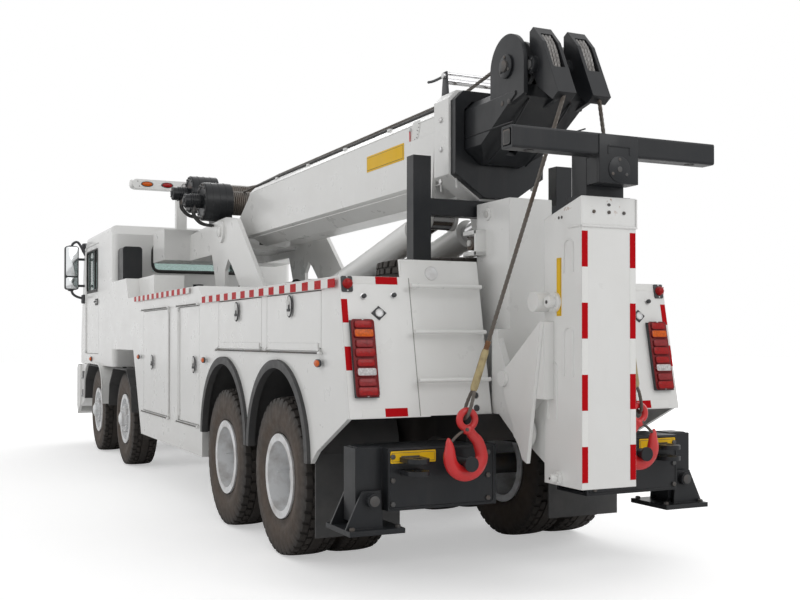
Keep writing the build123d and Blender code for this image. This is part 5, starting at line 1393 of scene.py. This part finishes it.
def dressMirror(side):
    midX, midY = mirrorLook["at"]
    lowZ, highZ = mirrorLook["z"]
    rear = midX - mirrorLook["back"]
    y = side * midY
    bm = bmesh.new()
    split = lowZ + mirrorLook["split"]
    wide = mirrorLook["glassWide"]
    for glassLow, glassHigh in ((lowZ + 0.014, split - 0.010), (split + 0.010, highZ - 0.014)):
        tall = glassHigh - glassLow
        middle = (rear, y, (glassLow + glassHigh) / 2)
        addPlate(bm, middle, (-1, 0, 0), (wide + 0.022, tall + 0.022), 0.008, 0, 0.004, 0.030)
        addPlate(bm, middle, (-1, 0, 0), (wide, tall), 0.010, 1, 0.001, 0.024)
    hood = [(rear + out, y, (lowZ, highZ)[end] + rise) for out, end, rise in mirrorLook["hood"]]
    addTube(bm, smoothLine(hood, 5), mirrorLook["hoodRadius"], 0, 14)
    pillarY = side * (cabLook["half"] - 0.01)
    top = [(midX + 0.02, y, highZ - 0.03), (midX + 0.03, y - side * 0.03, highZ + 0.045),
           (midX + 0.03, side * 1.28, highZ + 0.055), (midX - 0.03, pillarY, highZ - 0.13)]
    low = [(midX + 0.02, y, lowZ + 0.03), (midX + 0.02, y - side * 0.02, lowZ - 0.05),
           (midX + 0.02, side * 1.30, lowZ - 0.10), (midX - 0.01, pillarY, lowZ - 0.13)]
    for arm in (top, low):
        addTube(bm, smoothLine(arm, 8), mirrorLook["armRadius"], 0, 12)
    footY = pillarY + side * 0.05
    addBox(bm, (midX - 0.08, pillarY, lowZ - 0.20), (midX + 0.05, footY, lowZ - 0.07), 0, 0.02)
    # kerb mirror over the screen corner
    line = [Vector((x, side * kerbY, z)) for x, kerbY, z in (*mirrorLook["kerbArm"], mirrorLook["kerb"])]
    addTube(bm, smoothLine(line, 6), 0.014, 0, 10)
    addBox(bm, line[-1] + Vector((-0.06, -0.10, -0.07)), line[-1] + Vector((0.05, 0.10, 0.07)), 0, 0.03)
    makePiece(bm, "mirrorGlass" + sideTag[side], "chassis", [cabinTrim, mirrorGlass])


fenderLook = {
    "y": (0.945, 1.246),
    "line": ((-0.748, 0.120), (-0.712, 0.360), (-0.620, 0.520), (-0.430, 0.622), (0.0, 0.628)),
    "panel": ((5.085, 0.700), (5.500, 0.540), (5.500, 1.175), (4.800, 1.175), (4.980, 1.060), (5.055, 0.900)),
    "panelDeep": 0.275, "shellShare": 1.02, "rimShare": 1.014,
    "steps": ((0.700, 0.800), (0.960, 1.070)), "stepX": (5.10, 5.38),
    "sideLamp": (4.72, 1.255), "roofLamp": (5.10, 0.86, 3.010)}


def dressFender(side):
    # white shell over the front guard, lamp, steps and the roof marker
    tag = sideTag[side]
    nearY, farY = [side * y for y in fenderLook["y"]]
    deep = Vector((0, farY - nearY, 0))
    arch = smoothLine([(x, 0.0, z) for x, z in fenderLook["line"]], 4)
    arch += [Vector((-spot.x, 0.0, spot.z)) for spot in reversed(arch[:-1])]
    axle = Vector((jointAt["spin_1l"][0], nearY, jointAt["spin_1l"][2]))
    bm = bmesh.new()
    shell = [axle + spot * fenderLook["shellShare"] for spot in arch]
    addPrism(bm, shell + [axle + spot for spot in reversed(arch)], deep)
    addTube(bm, [axle + spot * fenderLook["rimShare"] + deep for spot in arch], 0.009, 0, 8)
    panelDeep = side * fenderLook["panelDeep"]
    addPrism(bm, [(x, nearY, z) for x, z in fenderLook["panel"]], (0, panelDeep, 0), 0, 0.01)
    makePiece(bm, "frontFender" + tag, "chassis", [whitePaint], 30.0)

    bm = bmesh.new()
    out = (0, side, 0)
    skin = nearY + panelDeep
    startX, endX = fenderLook["stepX"]
    for low, high in fenderLook["steps"]:
        middle = ((startX + endX) / 2, skin, (low + high) / 2)
        addPlate(bm, middle, out, (0.300, high - low), 0.004, 0, 0.003, 0.03)
        addBox(bm, (startX, skin, low - 0.008), (endX, skin + side * 0.018, low + 0.012), 2, 0.004)
    x, z = fenderLook["sideLamp"]
    spot = (x, side * cabLook["half"], z)
    addOval(bm, spot, out, (0.060, 0.034), [(-0.002, 1), (0.010, 1), (0.012, 0.94)], 0, 32)
    addOval(bm, spot, out, (0.052, 0.027), [(0.010, 1), (0.024, 0.92), (0.031, 0.6)], 1, 32)
    x, y, z = fenderLook["roofLamp"]
    spot, up = (x, side * y, z), (0.02, 0, 1)
    addOval(bm, spot, up, (0.050, 0.030), [(-0.004, 1), (0.010, 1), (0.012, 0.9)], 0, 28)
    addOval(bm, spot, up, (0.042, 0.024), [(0.010, 1), (0.030, 0.9), (0.040, 0.5)], 3, 28)
    makePiece(bm, "fenderLamps" + tag, "chassis", [cabinTrim, amberLens, deckPlate, redLens])


dressCabGlass()
dressGrille()
for side in (1, -1):
    dressHeadLamp(side)
dressBumper()
for side in (1, -1):
    dressMirror(side)
    dressFender(side)
print("cab dressed")


# winches, light bar and pedestal behind the cab
upperLook = {
    "winches": ((0.960, 3.080), (1.530, 3.230)), "gearFace": 0.600, "gearRadius": 0.215, "motorEnd": 0.790,
    "motorRadius": 0.075, "gearBands": (0.375, 0.45, 0.525), "motorFins": (0.640, 0.665, 0.690, 0.715, 0.740),
    "gearRows": [(-0.002, 1), (0.010, 1), (0.014, 0.97), (0.014, 0.80), (0.004, 0.76)],
    "motorRows": [(-0.002, 1.02), (0.012, 1.02), (0.018, 0.9), (0.018, 0.5), (0.030, 0.4), (0.034, 0.3)],
    "portX": (-0.035, 0.035), "portY": 0.70,
    "hoseRun": ((0.70, -0.11), (0.69, -0.17), (0.60, -0.25), (0.44, -0.27)),
    "barX": (2.485, 2.635), "barZ": 3.461, "barEnd": 1.070, "lensTall": 0.033,
    # lenses along the bar: y, half width, finish
    "lensRow": ((0.895, 0.075, 1), (0.645, 0.075, 2), (0.430, 0.033, 3), (0.160, 0.075, 1)),
    "lensRim": [(-0.002, 1.0), (0.007, 1.0), (0.010, 0.93), (0.008, 0.86)],
    "lensFace": [(0.004, 1.0), (0.011, 0.96), (0.014, 0.70)],
    "endCap": [(-0.002, 1.0), (0.008, 0.97), (0.018, 0.84), (0.024, 0.55)], "lampScrews": (-0.03, 0.03),
    "pivotFace": 0.480, "wellRadius": 0.017,
    "wellHoses": ((0.335, 0.0), (0.300, 0.05), (-0.335, 0.02), (-0.300, 0.06)),
    "manifoldX": (-0.56, -0.36), "manifoldY": 0.335, "manifoldZ": (1.795, 1.875),
    "manifoldPorts": (-0.52, -0.46, -0.40)}


def addBand(bm, spot, outward, radius, sink, rise, steps):
    # a raised band round a drum
    rows = [(-0.006, radius - sink), (-0.004, radius + rise), (0.004, radius + rise), (0.006, radius - sink)]
    addLathe(bm, rows, spot, outward, steps, 0, True)


def dressWinches():
    radius, size = upperLook["gearRadius"], upperLook["motorRadius"]
    ends = [(x, z, side) for x, z in upperLook["winches"] for side in (1, -1)]
    bm = bmesh.new()
    for x, z, side in ends:
        out = (0, side, 0)
        gear, motor = side * upperLook["gearFace"], side * upperLook["motorEnd"]
        addOval(bm, (x, gear, z), out, (radius * 0.97, radius * 0.97), upperLook["gearRows"], 0, 48)
        boltRing(bm, (x, gear + side * 0.013, z), out, radius * 0.885, 16, 0.011, (0.009, 0.010, 0.7))
        for y in upperLook["gearBands"]:
            addBand(bm, (x, side * y, z), out, radius, 0.002, 0.003, 48)
        addOval(bm, (x, motor, z), out, (size, size), upperLook["motorRows"], 0, 32)
        boltRing(bm, (x, motor + side * 0.016, z), out, size * 0.76, 6, 0.009, (0.010, 0.011, 0.7), start=30)
        for y in upperLook["motorFins"]:
            addBand(bm, (x, side * y, z), out, size, 0.0, 0.010, 32)
        y = side * upperLook["portY"]
        for dx in upperLook["portX"]:
            addRod(bm, (x + dx, y, z - size * 0.5), (x + dx, y, z - size - 0.045), 0.018, 1, 6)
    makePiece(bm, "winchFittings", "chassis", [charcoalPaint, castSteel])
    bm = bmesh.new()
    for x, z, side in ends:
        for dx in upperLook["portX"]:
            line = [(x + dx, side * y, z + drop) for y, drop in upperLook["hoseRun"]]
            addTube(bm, smoothLine(line, 6), 0.013, 0, 9)
    makePiece(bm, "winchHoses", "chassis", [hoseRubber])


def dressLightBar():
    bm = bmesh.new()
    z = upperLook["barZ"]
    rear, tall = upperLook["barX"][0], upperLook["lensTall"]
    for facing, x in zip((-1, 1), upperLook["barX"]):
        for side in (1, -1):
            for y, wide, mat in upperLook["lensRow"]:
                spot = (x, side * y, z)
                addOval(bm, spot, (facing, 0, 0), (wide, tall), upperLook["lensRim"], 0, 40)
                addOval(bm, spot, (facing, 0, 0), (wide * 0.85, tall * 0.80), upperLook["lensFace"], mat, 40)
    for side in (1, -1):
        end = (midOf(upperLook["barX"]), side * upperLook["barEnd"], z)
        addOval(bm, end, (0, side, 0), (0.073, 0.056), upperLook["endCap"], 4, 36)
        for rise in upperLook["lampScrews"]:
            addDisc(bm, (rear, side * (1.0 + rise / 3), z + rise), (-1, 0, 0), 0.006, 0.003, 0, 8)
    makePiece(bm, "lightBarLenses", "chassis",
              [hoseRubber, amberLens, redLens, clearLens, whitePaint])


def dressPedestal():
    # pivot bosses, bolts and the well's hoses with their orange manifold
    pivotX, pivotZ = jointAt["boom_lift"][0], jointAt["boom_lift"][2]
    bm = bmesh.new()
    for side in (1, -1):
        seat = side * upperLook["pivotFace"]
        out = (0, side, 0)
        addBoss(bm, (pivotX, seat, pivotZ), out, 0.115, (0.014, 0.018, 0.96), 0, 40, -0.004)
        addBoss(bm, (pivotX, seat, pivotZ), out, 0.060, (0.040, 0.044, 0.9), 0, 36, 0.014)
        boltRing(bm, (pivotX, seat + side * 0.016, pivotZ), out, 0.088, 6, 0.010, (0.009, 0.010, 0.7))
    makePiece(bm, "pivotBosses", "chassis", [whitePaint, rimSilver])
    bm = bmesh.new()
    for y, lift in upperLook["wellHoses"]:
        line = [(0.95, y, 1.84), (0.62, y, 2.02 + lift), (0.30, y * 0.9, 2.12 + lift),
                (-0.05, y * 0.9, 2.02 + lift), (-0.45, y, 1.83)]
        addTube(bm, smoothLine(line, 8), upperLook["wellRadius"], 0, 10)
    makePiece(bm, "wellHoses", "chassis", [hoseRubber])
    bm = bmesh.new()
    (rearX, frontX), (lowZ, highZ) = upperLook["manifoldX"], upperLook["manifoldZ"]
    for side in (1, -1):
        y = side * upperLook["manifoldY"]
        addBox(bm, (rearX, y - 0.035, lowZ), (frontX, y + 0.035, highZ), 0, 0.010)
        for x in upperLook["manifoldPorts"]:
            addRod(bm, (x, y, highZ - 0.005), (x, y, highZ + 0.030), 0.016, 1, 6)
    makePiece(bm, "wellManifold", "chassis", [orangePaint, brightSteel])


dressWinches()
dressLightBar()
dressPedestal()
print("upper body dressed")


# rear beams: blank signs, bolts and welds, hook latches and the feet of the legs
rearLook = {
    "beamRear": -5.030, "signY": (0.760, 1.060), "signZ": (0.800, 0.872),
    "signForm": ((0.003, 0.0008, 0.006), (0.018, 0.018, 0.0035), (0.023, 0.023, 0.0040)),
    "boltY": (0.40, 1.045), "boltZ": (0.56, 0.70, 0.84), "weldY": (0.36, 1.065), "weldZ": (0.535, 0.880),
    "lugY": (0.87, 0.99), "lugZ": (0.735, 0.836), "hookY": 0.640, "hookX": -5.187, "latchZ": 1.000,
    "latch": ((0.0, 0.0, 0.0), (-0.004, 0.055, -0.032), (-0.004, 0.098, -0.070)),
    "legX": -4.860, "legY": 1.161, "legHalf": 0.075, "footTop": 0.420, "studX": 0.150,
    "studY": (1.000, 1.295), "pinX": 0.168, "pinZ": 0.585}


def dressBeams(side):
    tag = sideTag[side]
    rear, back = rearLook["beamRear"], (-1, 0, 0)
    bm = bmesh.new()
    middle = (rear, side * midOf(rearLook["signY"]), midOf(rearLook["signZ"]))
    addSign(bm, middle, back, (spanOf(rearLook["signY"]), spanOf(rearLook["signZ"])), rearLook["signForm"])
    makePiece(bm, "beamBlankSign" + tag, "chassis", [signPaint, cabinTrim])
    bm = bmesh.new()
    for y in rearLook["boltY"]:
        for z in rearLook["boltZ"]:
            addBoss(bm, (rear, side * y, z), back, 0.016, (0.012, 0.014, 0.7), 1, 6)
    (nearY, farY), (lowZ, highZ) = rearLook["weldY"], rearLook["weldZ"]
    rim = crossRim((rear, side * nearY, lowZ), (rear, side * farY, highZ))
    addTube(bm, roundedRing(rim, 0.02), 0.006, 0, 6)
    nearY, farY = rearLook["lugY"]
    for z in rearLook["lugZ"]:
        addRod(bm, (rear, side * nearY, z), (rear, side * farY, z), 0.008, 0, 8)
    makePiece(bm, "beamWelds" + tag, "chassis", [charcoalPaint, castSteel])

    # safety latch across the hook's mouth and its pin
    bm = bmesh.new()
    hookX, hookY, latchZ = rearLook["hookX"], side * rearLook["hookY"], rearLook["latchZ"]
    line = [(hookX + dx, hookY + side * dy, latchZ + dz) for dx, dy, dz in rearLook["latch"]]
    addTube(bm, smoothLine(line, 6), 0.009, 1, 8)
    pinY = hookY + side * 0.004
    addRod(bm, (hookX - 0.034, pinY, latchZ), (hookX + 0.034, pinY, latchZ), 0.011, 1, 16, 0.002)
    makePiece(bm, "hookLatch" + tag, "chassis", [redPaint, castSteel])

    # foot: tread studs, weld beads and pin ends ride on the leg
    bm = bmesh.new()
    legX, legY = rearLook["legX"], side * rearLook["legY"]
    half, top = rearLook["legHalf"], rearLook["footTop"]
    for end in (-1, 1):
        for y in rearLook["studY"]:
            spot = (legX + end * rearLook["studX"], side * y, top)
            addBoss(bm, spot, (0.001, 0, 1), 0.018, (0.014, 0.017, 0.7), 1, 6)
        pin = (legX + end * rearLook["pinX"], legY, rearLook["pinZ"])
        addBoss(bm, pin, (end, 0, 0), 0.032, (0.008, 0.011, 0.7), 1, 24)
    square = ((-half, -half), (half, -half), (half, half), (-half, half))
    corners = [(legX + dx, legY + dy, top + 0.002) for dx, dy in square]
    addTube(bm, roundedRing(corners, 0.02), 0.008, 0, 6)
    makePiece(bm, "footStuds" + tag, "stabiliser_" + tag.lower(),
              [charcoalPaint, castSteel])


for side in (1, -1):
    dressBeams(side)
print("rear dressed")


# forged hooks: a swept section, thick in the bowl and drawn out to the tip
hookLook = {
    "bowlRadius": 0.108, "bowlCentre": (0.640, 0.845), "bowlThick": 0.046, "endThick": 0.036,
    "shank": ((0.630, 1.010, 0.030), (0.592, 0.962, 0.031), (0.556, 0.920, 0.036)),
    "tip": ((0.748, 0.892, 0.030), (0.754, 0.932, 0.019), (0.758, 0.952, 0.006)),
    "eyeCentre": (0.630, 1.058), "eyeMajor": 0.052, "eyeMinor": 0.021, "flatten": 0.80, "sides": 20,
    "collarAt": (0.626, 0.985), "collar": [(-0.012, 0.024), (0.0, 0.034), (0.020, 0.036), (0.034, 0.026)]}


def forgeHook(bm, side, x):
    # rows are (y, z, half the thickness)
    midY, midZ = hookLook["bowlCentre"]
    reach, endThick = hookLook["bowlRadius"], hookLook["endThick"]
    rows = list(hookLook["shank"])
    for step in range(9):
        turn = math.radians(180 + 22.5 * step)
        thick = endThick + (hookLook["bowlThick"] - endThick) * math.sin(math.pi * (step + 1) / 10)
        rows.append((midY + reach * math.cos(turn), midZ + reach * math.sin(turn), thick))
    spots = smoothLine(rows + list(hookLook["tip"]), 4)
    line = [Vector((x, side * spot.x, spot.y)) for spot in spots]
    across = Vector((1, 0, 0))
    rings = []
    for i, (spot, thick) in enumerate(zip(line, [spot.z for spot in spots])):
        way = spots[min(i + 1, len(spots) - 1)] - spots[max(i - 1, 0)]
        away = Vector((0, side * way.x, way.y)).normalized().cross(across)
        rings.append(addRing(bm, spot, across * thick * hookLook["flatten"], away * thick, hookLook["sides"]))
    skinRings(bm, rings)
    eyeY, eyeZ = hookLook["eyeCentre"]
    major, minor = hookLook["eyeMajor"], hookLook["eyeMinor"]
    turns = [2 * math.pi * k / 14 for k in range(14)]
    section = [(minor * math.cos(turn), major + minor * math.sin(turn)) for turn in turns]
    addLathe(bm, section, (x, side * eyeY, eyeZ), across, 40, 0, True)
    collarY, collarZ = hookLook["collarAt"]
    addLathe(bm, hookLook["collar"], (x, side * collarY, collarZ), (0, 0.05 * side, 1), 20)


bm = bmesh.new()
for side in (1, -1):
    forgeHook(bm, side, rearLook["hookX"])
forged = makePiece(bm, "forgedHooks", "chassis", [redPaint], 50.0)
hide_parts("hooks")
print("hooks forged")


# mast: bolt bosses and roller brackets on its flanks
mastLook = {
    "flank": 0.160, "bossAt": (-4.630, 2.360), "bracketX": (-4.600, -4.420), "bracketZ": (2.090, 2.260),
    "bracketOut": 0.075, "bracketThick": 0.030, "rollerAt": (-4.505, 2.175), "rollerLong": 0.070}


def dressMast(side):
    flank, out, thick = side * mastLook["flank"], (0, side, 0), mastLook["bracketThick"]
    near, far = flank - side * 0.002, flank + side * mastLook["bracketOut"]
    (rearX, frontX), (low, high) = mastLook["bracketX"], mastLook["bracketZ"]
    bm = bmesh.new()
    addBox(bm, (rearX, near, low), (frontX, far, low + thick), 0, 0.005)
    addBox(bm, (rearX, near, high - thick), (frontX, far, high), 0, 0.005)
    addBox(bm, (rearX, near, low), (rearX + thick, far, high), 0, 0.005)
    x, z = mastLook["rollerAt"]
    rollerEnd = (x, flank + side * mastLook["rollerLong"], z)
    addRod(bm, (x, flank, z), rollerEnd, 0.048, 1, 28, 0.004)
    addBoss(bm, rollerEnd, out, 0.024, (0.010, 0.013, 0.8), 2, 6)
    x, z = mastLook["bossAt"]
    addBoss(bm, (x, flank, z), out, 0.042, (0.010, 0.013, 0.94), 0, 32)
    addBoss(bm, (x, flank + side * 0.012, z), out, 0.024, (0.012, 0.015, 0.8), 2, 6)
    makePiece(bm, "mastBracket" + sideTag[side], "chassis", [whitePaint, castSteel, zincPlate])


for side in (1, -1):
    dressMast(side)
print("mast dressed")


# floor, light and camera
studio = {
    "eye": (-10.669, 3.684, 1.534), "yaw": -0.4426, "pitch": 0.0099, "lens": 47.45,
    "shiftX": 0.0028, "shiftY": 0.036, "floorTone": 0.86, "worldLight": 0.62, "floorLift": 0.42,
    "fadeOut": (8.0, 17.0), "floorHalf": 60.0,
    # lamps: where, aim, size, power
    "lamps": {"keyLamp": ((-14.0, -3.0, 9.0), (-3.0, 0.0, 1.5), 7.0, 300.0),
              "sideLamp": ((-1.0, 14.0, 7.0), (0.0, 0.0, 1.2), 8.0, 180.0),
              "frontLamp": ((13.0, -6.0, 8.0), (3.0, 0.0, 1.5), 8.0, 340.0),
              "farLamp": ((0.0, -14.0, 7.0), (0.0, 0.0, 1.2), 8.0, 300.0)}}


def setFloor():
    bm = bmesh.new()
    bmesh.ops.create_grid(bm, x_segments=2, y_segments=2, size=studio["floorHalf"])
    mesh = bpy.data.meshes.new("studioFloor")
    bm.to_mesh(mesh)
    bm.free()
    floor = bpy.data.objects.new("studioFloor", mesh)
    scene.collection.objects.link(floor)
    mat, tree, shader, place = newFinish("paleFloor")
    tone = studio["floorTone"]
    grey = rampOf(tree, noiseOf(tree, place, 3.0, 4.0), [(0.3, tone - 0.01), (0.7, tone + 0.01)])
    link(tree, grey, shader.inputs["Base Color"])
    shader.inputs["Roughness"].default_value = 0.9
    shader.inputs["Specular IOR Level"].default_value = 0.1
    path = tree.nodes.new("ShaderNodeLightPath")
    near, far = studio["fadeOut"]
    fade = rangeOf(tree, lengthOf(tree, place), near, far)  # white towards the horizon
    lift = mathOf(tree, "ADD", fade, studio["floorLift"])
    lift = mathOf(tree, "MULTIPLY", path.outputs["Is Camera Ray"], lift)
    shader.inputs["Emission Color"].default_value = (1.0, 1.0, 1.0, 1.0)
    link(tree, lift, shader.inputs["Emission Strength"])
    mesh.materials.append(mat)


def setWorld():
    world = bpy.data.worlds.new("softStudio")
    scene.world = world
    world.use_nodes = True
    tree = world.node_tree
    back = tree.nodes["Background"]
    path = tree.nodes.new("ShaderNodeLightPath")
    seen = mathOf(tree, "ADD", path.outputs["Is Camera Ray"], path.outputs["Is Glossy Ray"])
    seen = mathOf(tree, "ADD", seen, path.outputs["Is Transmission Ray"])
    strength = tree.nodes.new("ShaderNodeMapRange")
    strength.inputs["To Min"].default_value = studio["worldLight"]
    strength.inputs["To Max"].default_value = 1.0
    link(tree, seen, strength.inputs["Value"])
    back.inputs["Color"].default_value = (1.0, 1.0, 1.0, 1.0)
    link(tree, strength.outputs["Result"], back.inputs["Strength"])


def setLamp(name, spot, aim, size, power):
    data = bpy.data.lights.new(name, "AREA")
    data.size = size
    data.energy = power
    lamp = bpy.data.objects.new(name, data)
    scene.collection.objects.link(lamp)
    lamp.location = spot
    lamp.rotation_euler = (Vector(aim) - Vector(spot)).to_track_quat("-Z", "Y").to_euler()


def setCamera():
    data = bpy.data.cameras.new("photoCamera")
    data.lens = studio["lens"]
    data.sensor_width = 36.0
    data.shift_x = studio["shiftX"]
    data.shift_y = studio["shiftY"]
    camera = bpy.data.objects.new("photoCamera", data)
    scene.collection.objects.link(camera)
    camera.location = studio["eye"]
    flat = math.cos(studio["pitch"])
    look = Vector((math.cos(studio["yaw"]) * flat, math.sin(studio["yaw"]) * flat, math.sin(studio["pitch"])))
    camera.rotation_euler = look.to_track_quat("-Z", "Y").to_euler()
    scene.camera = camera


setFloor()
setCamera()
setWorld()
for name, lamp in studio["lamps"].items():
    setLamp(name, *lamp)
scene.view_settings.view_transform = "Standard"
print("studio set")
